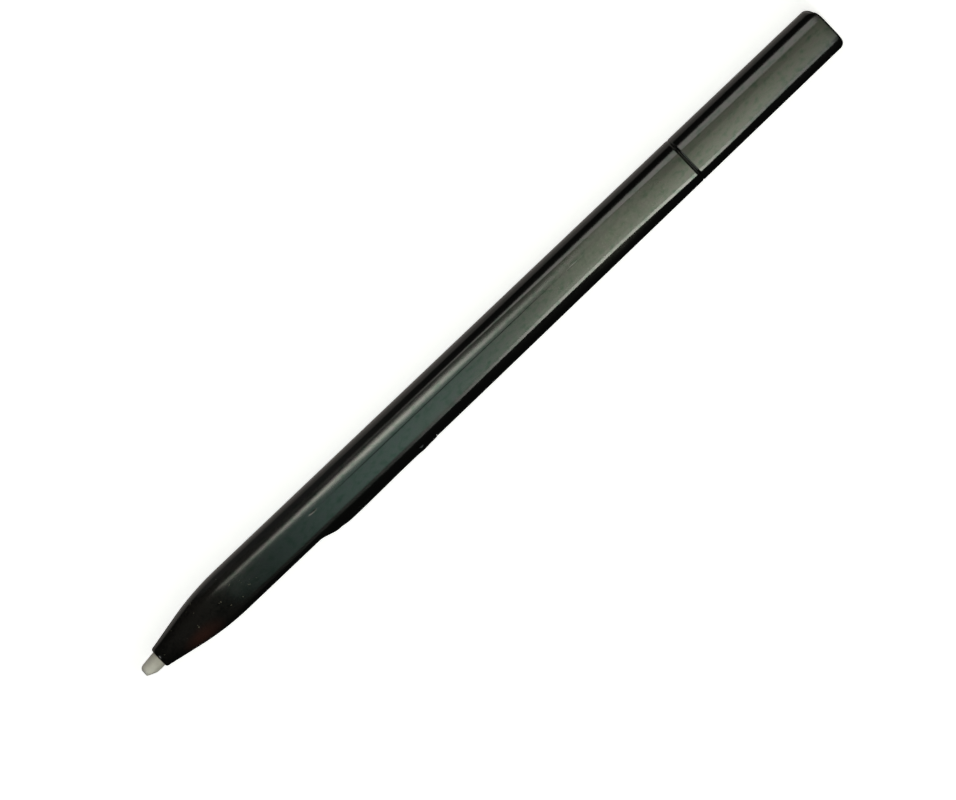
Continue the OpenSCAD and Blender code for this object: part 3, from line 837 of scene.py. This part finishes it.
    def cavity(self, inset: float) -> list[Point2]:
        """Return the section of the space inside, with the casing's round sides and flats.

        Args:
            inset: How far it lies inside the outer face, in millimetres.

        Returns:
            The points of the ring.
        """
        n = self.counts
        r, flat = self.radius - inset, self.axis.height - inset
        corner = math.asin(flat / r)
        cy = r * math.cos(corner)
        half = [(-self.offset - math.sqrt(r * r - z * z), z)
                for z in spread(0.0, self.slot_half, n[0])]
        half += [(-self.offset - r * math.cos(a), r * math.sin(a))
                 for a in spread(math.asin(self.slot_half / r), corner, n[1] + n[2])[1:]]
        half += [(y, flat) for y in
                 spread(-self.offset - cy, cy - self.offset, n[3] + n[4] + n[5] + n[6])[1:]]
        half += [(-self.offset + r * math.cos(a), r * math.sin(a))
                 for a in spread(corner, 0.0, n[7])[1:]]
        return self.closed(half)

    def bore(self, radius: float) -> list[Point2]:
        """Return a round section with the casing's columns."""
        ring = self.outer(0.0)
        angles = [math.atan2(z, y) for y, z in ring]
        return [(radius * math.cos(a), radius * math.sin(a)) for a in angles]


@dataclass
class Barrel:
    """The barrel shell: nose, body, key slot, cavity, and a chamfer at the seam.

    Attributes:
        casing: The shape it shares with the cap.
        slot: Stations of the slot's two ends.
        rim: Width and length of the rounding at the nose's front edge.
        nib_bore: Radius of the bore at the nose.
        shoulder: Station where the nib's bore steps down.
        passage: Radius of the passage for the nib's shaft.
        sensor_bore: Radius of the sensor's bore.
        sensor_front: Station of the sensor bore's front end.
        cavity_front: Station where the bore widens into the cavity.
        chamfer: Width of the chamfer at the seam, on the faces.
        side_chamfer: The same on the round sides.
        lip: Length of the low lip that closes the seam.
    """

    casing: Casing
    slot: tuple[float, float]
    rim: tuple[float, float] = (0.34, 0.65)
    nib_bore: float = 1.3
    shoulder: float = -59.2
    passage: float = 0.75
    sensor_bore: float = 2.15
    sensor_front: float = -55.1
    cavity_front: float = -33.2
    chamfer: float = 0.13
    side_chamfer: float = 0.04
    lip: float = 0.17

    def stations(self) -> list[float]:
        """Return the outer face's stations, from behind the nose's rim to the seam's chamfer."""
        axis = self.casing.axis
        return (
            spread(axis.nose + self.rim[1], self.casing.nose_back, 30)
            + spread(self.casing.nose_back, -35.2, 9)[1:]
            + spread(-35.2, self.slot[0], 12)[1:]
            + spread(self.slot[0], self.slot[1], 14)[1:]
            + spread(self.slot[1], axis.seam - self.chamfer - 0.12, 36)[1:]
            + [axis.seam - self.chamfer - 0.01]
        )

    def build(self) -> bpy.types.Object:
        """Make the barrel's mesh."""
        c, axis = self.casing, self.casing.axis
        rings: list[list[Point3]] = []

        def ring(x: float, section: Sequence[Point2]) -> None:
            """Add a ring at a station."""
            rings.append([(x, y, z) for y, z in section])

        for a in spread(0.0, math.pi / 2, 6)[:-1]:
            ring(axis.nose + self.rim[1] * (1 - math.cos(a)),
                 c.outer(axis.nose + self.rim[1], self.rim[0] * (1 - math.sin(a)) + 0.002))
        first = len(rings)
        stations = self.stations()
        for x in stations:
            ring(x, c.outer(x))
        slot_rows = [first + stations.index(self.slot[0]), first + stations.index(self.slot[1])]
        bevel = self.chamfer
        for share in (0.02, 0.06, 0.94, 0.98, 1.0):
            ring(axis.seam - bevel + bevel * share,
                 c.outer(axis.seam, bevel * share + 0.002, self.side_chamfer * share))
        ring(axis.seam, c.outer(axis.seam, 0.34, 0.06))
        ring(axis.seam + self.lip, c.outer(axis.seam, 0.36, 0.07))
        inner = c.cavity(c.wall)
        ring(axis.seam + self.lip, inner)
        ring(axis.seam - 0.1, inner)
        rear_row = len(rings)
        ring(self.slot[1], inner)
        for x in spread(self.slot[1], self.slot[0], 14)[1:]:
            ring(x, inner)
        front_row = len(rings) - 1
        ring(self.cavity_front, inner)
        bore = c.bore(self.sensor_bore)
        ring(self.cavity_front, bore)
        ring(self.sensor_front, bore)
        passage, nib = c.bore(self.passage), c.bore(self.nib_bore)
        for x, section in ((self.sensor_front, passage), (self.shoulder, passage),
                           (self.shoulder, nib), (axis.nose + 0.02, nib),
                           (axis.nose, c.bore(self.nib_bore + 0.01))):
            ring(x, section)
        rings.append(list(rings[0]))
        skin = Skin(axis, rings)
        across = c.counts[0]
        total = len(rings[0])
        for rows in (range(slot_rows[0], slot_rows[1] + 1), range(rear_row, front_row + 1)):
            skin.cut(rows, range(0, across + 1))
            skin.cut(rows, range(total - across, total + 1))
        skin.weld()
        rims = skin.bridge()
        outside = [e for e in rims if e.is_valid and self.is_outside(e)]
        skin.soften(outside, 0.04)
        return skin.finish("barrel_shell")

    def is_outside(self, edge: bmesh.types.BMEdge) -> bool:
        """Tell whether an edge of the slot lies on the outer face."""
        y = sum(v.co.y for v in edge.verts) / 2 / MM - self.casing.axis.side
        return y < -self.casing.radius + self.casing.wall * 0.4


@dataclass
class TailCap:
    """The tail cap: a closed shell with a rounded mouth and a rounded end.

    Attributes:
        casing: The shape it shares with the barrel.
        back_round: Length and width of the end's rounding on the side away from the key.
        key_round: The same on the key side.
        face_round: The same at the upper and lower faces.
        mouth_radius: Radius of the mouth's edge on the upper and lower faces.
        end_wall: Thickness of the closed end.
    """

    casing: Casing
    back_round: Point2 = (1.45, 2.6)
    key_round: Point2 = (1.0, 1.0)
    face_round: Point2 = (0.25, 0.25)
    mouth_radius: float = 0.3
    end_wall: float = 1.2

    def plan(self, y: float) -> float:
        """Return the end's furthest station at a place across the pen, to round its corners."""
        axis = self.casing.axis
        (length, width), reach = self.back_round, y - axis.back
        if y < 0:
            (length, width), reach = self.key_round, -y - self.casing.tail_side
        share = min(max(reach / width + 1.0, 0.0), 1.0)
        return axis.tail - length * (1.0 - math.sqrt(1.0 - share * share))

    def corner(self, y: float, z: float) -> Point2:
        """Return the end's rounding, length and width, for a point of the section."""
        share = ease(0.55, 0.95, abs(y) / math.hypot(y, z))
        side = self.back_round if y > 0 else self.key_round
        return (mix(self.face_round[0], side[0], share), mix(self.face_round[1], side[1], share))

    def build(self) -> bpy.types.Object:
        """Make the cap's mesh."""
        c, axis = self.casing, self.casing.axis
        inner = c.cavity(c.wall)
        lead = self.back_round[0]
        end = c.outer(axis.tail - lead)
        corners = [self.corner(y, z) for y, z in end]
        floor = axis.tail - self.end_wall
        rings = [[(floor, y * s, z * s) for y, z in inner] for s in (0.0, 0.5, 0.97)]
        rings += [[(x, y, z) for y, z in inner] for x in (floor - 0.06, axis.cap + 0.1, axis.cap)]
        r = self.mouth_radius
        rings.append([(axis.cap, y, z) for y, z in c.outer(axis.cap, r + 0.05, 0.08)])
        for a in spread(0.0, math.pi / 2, 5):
            x, drawn = axis.cap + r * (1 - math.cos(a)), 1 - math.sin(a)
            rings.append([(x, y, z) for y, z in c.outer(axis.cap, r * drawn + 1e-6, 0.05 * drawn)])
        for x in [axis.cap + r + 0.01] + spread(axis.cap + r + 0.12, axis.tail - lead - 0.02, 24):
            rings.append([(x, y, z) for y, z in c.outer(x)])
        for a in spread(0.0, math.pi / 2, 10):
            ring = []
            for (y, z), (length, width) in zip(end, corners):
                keep = 1.0 - width * (1 - math.cos(a)) / math.hypot(y, z)
                x = axis.tail - length * (1 - math.sin(a))
                ring.append((min(x, self.plan(y * keep)), y * keep, z * keep))
            rings.append(ring)
        last = rings[-1]
        for s in (0.97, 0.9, 0.8, 0.65, 0.5, 0.25, 0.0):
            rings.append([(self.plan(y * s), y * s, z * s) for _, y, z in last])
        skin = Skin(axis, rings)
        skin.weld()
        return skin.finish("tail_cap_shell")


# How far the key's hook reaches in front of its face.
KEY_HOOK = 1.25


@dataclass
class SideKey:
    """The side key: proud at the front, low over the saddle, with a small hump over its hinge.

    Attributes:
        axis: The pen's axis and stations.
        front: Station of its front end.
        rear: Station of its rear end.
        half: Half its height.
        inner: Half width at its inner face.
        saddle: Half width at its saddle.
        hinge: Station of its hinge pin.
        hinge_side: Distance of the hinge pin from the axis.
        nub: Station of the nub that works the switch.
        nub_end: Distance of the nub's end from the axis.
        edge: Width of the rounding along the outer face's edges.
        end_edge: Radius of the rounding at the two ends.
        fall: How far the outer face falls from its crown to its edges.
    """

    axis: PenAxis
    front: float
    rear: float
    half: float
    inner: float = 3.25
    saddle: float = 4.31
    hinge: float = -15.7
    hinge_side: float = 3.55
    nub: float = -25.0
    nub_end: float = 2.0
    edge: float = 0.16
    end_edge: float = 0.05
    fall: float = 0.45

    def crown(self, x: float) -> float:
        """Return the key's half width along its middle line."""
        proud = self.axis.crest - self.saddle
        raised = proud * (1.0 - ease(self.front + 3.5, self.front + 12.5, x))
        hump = 0.07 * math.exp(-(((x - self.hinge) / 0.75) ** 2))
        lead = 0.2 * (1.0 - ramp(0.0, 2.2, x - self.front)) ** 2
        tail = 0.06 * (1.0 - ramp(0.0, 0.7, self.rear - x)) ** 2
        return self.saddle + raised + hump - lead - tail

    def section(self, x: float, inset: float) -> list[Point3]:
        """Return the key's ring at a station.

        Args:
            x: The station.
            inset: How far the ring is drawn in from its sides.

        Returns:
            The ring's points, from the inner face round over the crown.
        """
        crown, half, e = self.crown(x) - inset, self.half - inset, self.edge
        inner = self.inner + min(inset, 0.3)

        def face(z: float) -> float:
            """Return the outer face's place at a height."""
            return -(crown - self.fall * (z / self.half) ** 2)

        corner = face(half)
        upper = [(face(z), z) for z in spread(0.0, half - e, 8)]
        upper += rounded(upper[-1], (corner, half), (corner + e, half), 4)[1:]
        upper += [(y, half) for y in spread(corner + e, -inner - 0.06, 3)[1:]]
        upper += rounded(upper[-1], (-inner, half), (-inner, half - 0.06), 2)[1:]
        upper += [(-inner, z) for z in spread(half - 0.06, 0.0, 5)[1:]]
        ring = upper + [(y, -z) for y, z in reversed(upper[1:-1])]
        return [(x, y, z) for y, z in ring]

    def build(self) -> bpy.types.Object:
        """Make the key's mesh, with its hinge boss, hook and nub."""
        axis, r = self.axis, self.end_edge
        rings = []
        turns = [(r * (1 - math.cos(a)), r * (1 - math.sin(a)))
                 for a in spread(0.0, math.pi / 2, 5)]
        rings += [self.section(self.front + x, inset) for x, inset in turns]
        rings += [self.section(x, 0.0) for x in spread(self.front + r, self.rear - r, 64)[1:-1]]
        rings += [self.section(self.rear - x, inset) for x, inset in reversed(turns)]
        ends = []
        for ring in (rings[0], rings[-1]):
            middle = sum(p[1] for p in ring) / len(ring)
            ends.append([[(x, mix(middle, y, s), z * s) for x, y, z in ring]
                         for s in (0.0, 0.6, 0.97)])
        rings = ends[0] + rings + list(reversed(ends[1]))
        skin = Skin(axis, rings)
        skin.weld()
        # The boss, the nub and the hook all start inside the key, so that they are one with it.
        add_drum(skin.mesh, axis.place(self.hinge, -self.hinge_side + 0.08, 0.0), self.half - 0.1,
                 0.49, True)
        root = self.inner + 0.3
        add_drum(skin.mesh, axis.place(self.nub, -(root + self.nub_end) / 2, 0.0),
                 (root - self.nub_end) / 2, 0.5, False)
        add_block(skin.mesh, axis.place(self.front - KEY_HOOK, -3.02, -1.0),
                  axis.place(self.front + 1.0, -2.42, 1.0), 0.1)
        add_block(skin.mesh, axis.place(self.front + 0.1, -3.6, -1.0),
                  axis.place(self.front + 1.0, -2.6, 1.0), 0.1)
        return skin.finish("side_key_lever")


@dataclass
class Nib:
    """The nib: a turned rod that leans a little in its bore, with a blunt tip worn at a slant.

    Attributes:
        axis: The pen's axis and stations.
        tip_radius: Radius where the blunt tip begins.
        tip_round: Length and width of the rounding at the tip.
        head_radius: Radius of the head at the nose.
        head_length: Length of the head.
        shaft_radius: Radius of the shaft.
        length: Length of the whole nib.
        lean: How far the nib has moved to the key side, at the nose and at the tip.
        worn_place: A point of the worn slant: its distances from the tip and from the axis.
        worn_way: The way the slant faces.
    """

    axis: PenAxis
    tip_radius: float = 1.08
    tip_round: Point2 = (0.8, 0.55)
    head_radius: float = 1.2
    head_length: float = 5.4
    shaft_radius: float = 0.65
    length: float = 24.1
    lean: Point2 = (0.06, 0.24)
    worn_place: Point2 = (0.9, -1.04)
    worn_way: Point3 = (-0.39, -0.92, 0.0)

    def outline(self) -> list[Point2]:
        """Return the nib's profile as distances from the tip and radii."""
        r, (long, wide) = self.tip_radius, self.tip_round
        points: list[Point2] = [(0.0, 0.0), (0.0, (r - wide) * 0.6)]
        points += [(long * (1 - math.cos(a)), r - wide * (1 - math.sin(a)))
                   for a in spread(0.0, math.pi / 2, 9)]
        head, shaft, end, tail = self.head_radius, self.shaft_radius, self.head_length, self.length
        points += [(x, mix(r, head, ease(0.6, 3.0, x))) for x in spread(1.1, 3.2, 8)]
        points += [(end - 0.1, head), (end, head - 0.1), (end, shaft + 0.03), (end + 0.05, shaft),
                   (tail - 0.1, shaft), (tail, shaft - 0.1), (tail, 0.0)]
        return points

    def lean_at(self, x: float) -> float:
        """Return how far the nib has moved to the key side at a station."""
        (inside, outside), nose = self.lean, self.axis.nose
        return (inside * (1.0 - ramp(nose, nose + 2.4, x))
                + (outside - inside) * (1.0 - ramp(self.axis.tip, nose, x)))

    def build(self) -> bpy.types.Object:
        """Make the nib's mesh."""
        mesh, axis = bmesh.new(), self.axis
        verts = [mesh.verts.new(axis.place(axis.tip + x, r, 0.0)) for x, r in self.outline()]
        edges = [mesh.edges.new(pair) for pair in zip(verts, verts[1:])]
        bmesh.ops.spin(mesh, geom=verts + edges, cent=axis.place(0, 0, 0), axis=(1, 0, 0),
                       angle=2 * math.pi, steps=56, use_merge=True)
        bmesh.ops.remove_doubles(mesh, verts=mesh.verts, dist=1e-7)
        for vert in mesh.verts:
            vert.co.y -= self.lean_at(vert.co.x / MM) * MM
        # The tip is worn to a slant on the key side.
        cut = bmesh.ops.bisect_plane(
            mesh, geom=list(mesh.verts) + list(mesh.edges) + list(mesh.faces), dist=1e-8,
            plane_co=axis.place(axis.tip + self.worn_place[0], self.worn_place[1], 0.0),
            plane_no=Vector(self.worn_way), clear_outer=True,
        )
        rim = [e for e in cut["geom_cut"] if isinstance(e, bmesh.types.BMEdge)]
        bmesh.ops.holes_fill(mesh, edges=rim)
        bmesh.ops.bevel(mesh, geom=[e for e in rim if e.is_valid], offset=0.16 * MM, segments=3,
                        profile=0.5, affect="EDGES", material=-1)
        for vert in mesh.verts:
            vert.co.x = max(vert.co.x, axis.tip * MM)
        return finish_piece(mesh, "nib_worn")


# ---------------------------------------------------------------- what is inside


INNER_FINISHES = {
    "inner_plastic": Finish("polycarbonate_moulded_matt", "1c1c1e", "28282b", 0.3, 0.55,
                            relief=0.006),
    "white_plastic": Finish("nylon_moulded_white", "d8d8d2", "e6e6e1", 0.25, 0.5, relief=0.004),
    "conductive_rubber": Finish("carbon_filled_silicone", "141414", "202020", 0.12, 0.75,
                                relief=0.006),
    "damper_rubber": Finish("nitrile_rubber_cut", "161616", "242424", 0.15, 0.7, relief=0.008),
    "foam_rubber": Finish("closed_cell_foam_cut", "1c1c1c", "2c2c2c", 0.18, 0.85, relief=0.03,
                          pattern=Pattern.CELLS),
    "film": Finish("polyimide_film_stamped", "b08a3c", "c49b48", 0.4, 0.3, relief=0.002),
    "spring_steel": Finish("spring_steel_drawn", "b4b5b8", "cfd0d2", 0.04, 0.25, metallic=1.0,
                           relief=0.002, pattern=Pattern.BRUSHED),
    "switch_steel": Finish("nickel_silver_stamped", "b9b9b4", "cdccc6", 0.06, 0.32, metallic=1.0,
                           relief=0.002, pattern=Pattern.BRUSHED),
    "steel_pin": Finish("dowel_steel_blackened", "232326", "303034", 0.03, 0.34, metallic=1.0,
                        relief=0.001, pattern=Pattern.BRUSHED),
    "gilt_brass": Finish("brass_gold_flashed", "c9a24e", "dcb862", 0.05, 0.3, metallic=1.0,
                         relief=0.001),
    "ferrite": Finish("ferrite_sintered", "2b2a2b", "3d3b3c", 0.08, 0.5, relief=0.008),
    "magnet_wire": Finish("enamelled_copper_wound", "7a3a18", "c46a34", 0.12, 0.3, metallic=0.9,
                          relief=0.03, pattern=Pattern.WOUND),
    "switch_plastic": Finish("glass_filled_nylon_moulded", "171717", "222222", 0.2, 0.5,
                             relief=0.005),
    "plunger_plastic": Finish("acetal_moulded_red", "7c1a10", "90241a", 0.2, 0.42, relief=0.003),
    "board_laminate": Finish("epoxy_laminate_solder_masked", "0f4a2a", "17603a", 0.3, 0.35,
                             relief=0.01, pattern=Pattern.WOVEN),
    "ceramic_chips": Finish("ceramic_fired_tan", "9b7a55", "b08e66", 0.1, 0.5, relief=0.004),
    "trimmer_ceramic": Finish("ceramic_fired_cream", "cdbb8e", "dccca4", 0.1, 0.45, relief=0.004),
}


@dataclass
class InnerWorks:
    """The sensor, the switch, the board and the other parts that keep their own shapes.

    Attributes:
        record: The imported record, which says what each part is made of.
        nodes: The parts' objects, by name.
    """

    record: dict
    nodes: dict[str, bpy.types.Object]

    def dress(self, skip: Iterable[str]) -> None:
        """Give each part its finish.

        Args:
            skip: The parts that other pieces stand for.
        """
        made = {slot: finish.build() for slot, finish in INNER_FINISHES.items()}
        for part in self.record["subparts"]:
            name, slot = part["node"], part["material_slot"]
            if name in skip:
                continue
            data = self.nodes[name].data
            data.materials.clear()
            data.materials.append(made[slot])
            log.info("%s is dressed in %s", name, INNER_FINISHES[slot].name)


# ---------------------------------------------------------------- floor, light and camera


@dataclass(frozen=True)
class Softbox:
    """A flat lamp that hangs in the studio, in millimetres.

    Attributes:
        name: What the lamp does.
        place: Its middle.
        size: Its two sides.
        radiance: How bright its face is.
        colour: Its colour as sRGB hex.
        aim: The point it faces; None for straight down.
        turn: How far it is turned about the way it faces, in degrees.
    """

    name: str
    place: Point3
    size: Point2
    radiance: float
    colour: str = "ffffff"
    aim: Optional[Point3] = None
    turn: float = 0.0

    def build(self) -> bpy.types.Object:
        """Hang the lamp."""
        lamp = bpy.data.lights.new(self.name, "AREA")
        lamp.shape = "RECTANGLE"
        lamp.size, lamp.size_y = self.size[0] * MM, self.size[1] * MM
        lamp.energy = self.radiance * math.pi * lamp.size * lamp.size_y
        lamp.color = linear(self.colour)[:3]
        made = bpy.data.objects.new(self.name, lamp)
        bpy.context.scene.collection.objects.link(made)
        made.location = Vector(self.place) * MM
        aim = self.aim or (self.place[0], self.place[1], 0.0)
        away = (Vector(self.place) - Vector(aim)).normalized()
        made.rotation_euler = away.to_track_quat("Z", "Y").to_euler()
        made.rotation_euler.rotate_axis("Z", math.radians(self.turn))
        made.visible_camera = False
        return made


# The overhead lamps make the sheen on the upper face, the streaks and edges its bright lines.
STREAK_TURN = -49.0
STUDIO_LAMPS = (
    Softbox("overhead_nose", (-40, 0, 300), (16, 150), 0.55, "c8fff2"),
    Softbox("overhead_front", (-15, 0, 302), (42, 150), 1.3, "cbfff0"),
    Softbox("overhead_rear", (58, 0, 304), (104, 150), 1.4, "f8ffdf"),
    Softbox("overhead_key_rear", (38, -34, 306), (64, 84), 0.9, "faffe0"),
    Softbox("overhead_key", (38, -66, 308), (52, 88), 2.9, "f8ffec"),
    Softbox("overhead_key_mid", (-2, -66, 308), (28, 88), 0.35, "f4fff0"),
    Softbox("overhead_key_tail", (85, -66, 308), (42, 88), 0.8, "f2f8ff"),
    Softbox("overhead_front_patch", (-19, -22, 310), (26, 46), 0.7, "dcfff0"),
    Softbox("overhead_rear_patch", (58, -20, 310), (26, 30), 1.3, "fbffe8"),
    Softbox("streak", (-17, 69, 300), (72, 30), 7.0, "fffdf0", (-17, 0, 0), STREAK_TURN),
    Softbox("streak_middle", (-24, 77, 301), (40, 26), 3.8, "fffdf0", (-24, 0, 0), STREAK_TURN),
    Softbox("streak_front", (-58, 116, 300), (53, 30), 2.4, "fffdf0", (-58, 0, 0), STREAK_TURN),
    Softbox("back_edge", (45, 300, 300), (108, 240), 3.2, "fffdf4", (45, 0, 0)),
    Softbox("key_edge", (34, -240, 260), (36, 330), 8.5, "fdffee", (34, 0, 0)),
    Softbox("key_edge_soft", (40, -242, 262), (60, 330), 3.2, "fdffee", (40, 0, 0)),
    Softbox("key_edge_wide", (42, -244, 264), (100, 330), 1.2, "f2fbff", (42, 0, 0)),
    Softbox("back_fill", (70, 128, 306), (114, 104), 1.2, "f8ffdf"),
    Softbox("mouth_edge", (-300, 0, 210), (100, 100), 4.0, aim=(38, 0, 0)),
    Softbox("back_wall", (-76, 400, 60), (105, 300), 0.15, aim=(-45, 0, 0)),
    Softbox("back_rim", (0, 16, 0.2), (150, 22), 0.4, "fff6ee", (0, 16, 100)),
)


@dataclass
class Studio:
    """A pale floor, soft lamps and a camera that looks straight down.

    Attributes:
        view_width: Width of what the camera sees at the pen's middle height, in millimetres.
        height: Height of the camera over the pen's middle, in millimetres.
        turn: Angle of the pen in the picture, in degrees.
        aim: The point under the camera, in millimetres.
        floor_half: Half the floor's side, in metres.
        floor_glow: How strongly the floor is lit from below.
    """

    view_width: float = 131.93
    height: float = 1500.0
    turn: float = 43.54
    aim: Point2 = (-5.66, -4.05)
    floor_half: float = 0.6
    floor_glow: float = 0.72

    def floor(self) -> None:
        """Lay the floor: seamless white paper, lit from below as well so that it stays pale."""
        mesh = bmesh.new()
        bmesh.ops.create_grid(mesh, x_segments=1, y_segments=1, size=self.floor_half)
        data = bpy.data.meshes.new("floor")
        mesh.to_mesh(data)
        mesh.free()
        paper = Nodes("paper_seamless_white")
        colour = paper.add("ValToRGB", paper.grain(3.0, detail=2),
                           stops=[(0.2, linear("c9c9c8")), (0.8, linear("cecece"))])
        data.materials.append(paper.close(
            Base_Color=colour, Roughness=0.9, Emission_Color=linear("ffffff"),
            Emission_Strength=self.floor_glow,
        ))
        piece = bpy.data.objects.new("floor", data)
        bpy.context.scene.collection.objects.link(piece)
        piece.visible_glossy = False
        piece.visible_diffuse = False
        piece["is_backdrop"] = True

    def lamps(self) -> None:
        """Hang the lamps."""
        for lamp in STUDIO_LAMPS:
            lamp.build()
        world = bpy.data.worlds.new("dim_room")
        world.use_nodes = True
        world.node_tree.nodes["Background"].inputs["Color"].default_value = (0.01, 0.01, 0.01, 1.0)
        bpy.context.scene.world = world

    def camera(self) -> None:
        """Set up the camera."""
        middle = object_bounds()
        height = (middle[0][2] + middle[1][2]) / 2 / MM
        lens = bpy.data.cameras.new("camera")
        lens.sensor_width = 36.0
        lens.lens = lens.sensor_width * self.height / self.view_width
        lens.clip_start, lens.clip_end = 0.01, 10.0
        made = bpy.data.objects.new("camera", lens)
        bpy.context.scene.collection.objects.link(made)
        made.location = Vector((self.aim[0], self.aim[1], height + self.height)) * MM
        made.rotation_euler = (0.0, 0.0, math.radians(-self.turn))
        bpy.context.scene.camera = made
        bpy.context.scene.view_settings.view_transform = "Standard"


# ---------------------------------------------------------------- putting it together


def dress(piece: bpy.types.Object, material: bpy.types.Material, body: str, node: str) -> None:
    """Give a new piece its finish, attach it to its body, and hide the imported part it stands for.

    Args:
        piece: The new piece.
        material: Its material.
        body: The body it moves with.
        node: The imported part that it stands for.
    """
    piece.data.materials.append(material)
    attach(piece, body)
    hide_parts(node)
    log.info("%s: %d faces, in %s", piece.name, len(piece.data.polygons), material.name)


def main() -> None:
    """Build the studio and the pen."""
    logging.basicConfig(level=logging.INFO, format="%(message)s")
    studio = Studio()
    studio.camera()
    studio.floor()
    studio.lamps()

    axis = PenAxis.measure()
    casing = Casing(axis)
    key_low, key_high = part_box("side_key")
    front, rear = key_low.x / MM + KEY_HOOK, key_high.x / MM
    gap = 0.03  # between the key's ends and its slot
    half = (key_high.z - key_low.z) / 2 / MM
    black = CasingFinish().build(axis)
    barrel = Barrel(casing, slot=(front - gap, rear + gap))
    dress(barrel.build(), black, "pen", "barrel")
    dress(TailCap(casing).build(), black, "cap", "tail_cap")
    dress(SideKey(axis, front, rear, half).build(), black, "key", "side_key")
    dress(Nib(axis).build(), NibFinish().build(axis), "nib_set", "nib")
    InnerWorks(frame["record"], frame["nodes"]).dress(("barrel", "tail_cap", "side_key", "nib"))


if __name__ == "__main__":
    main()
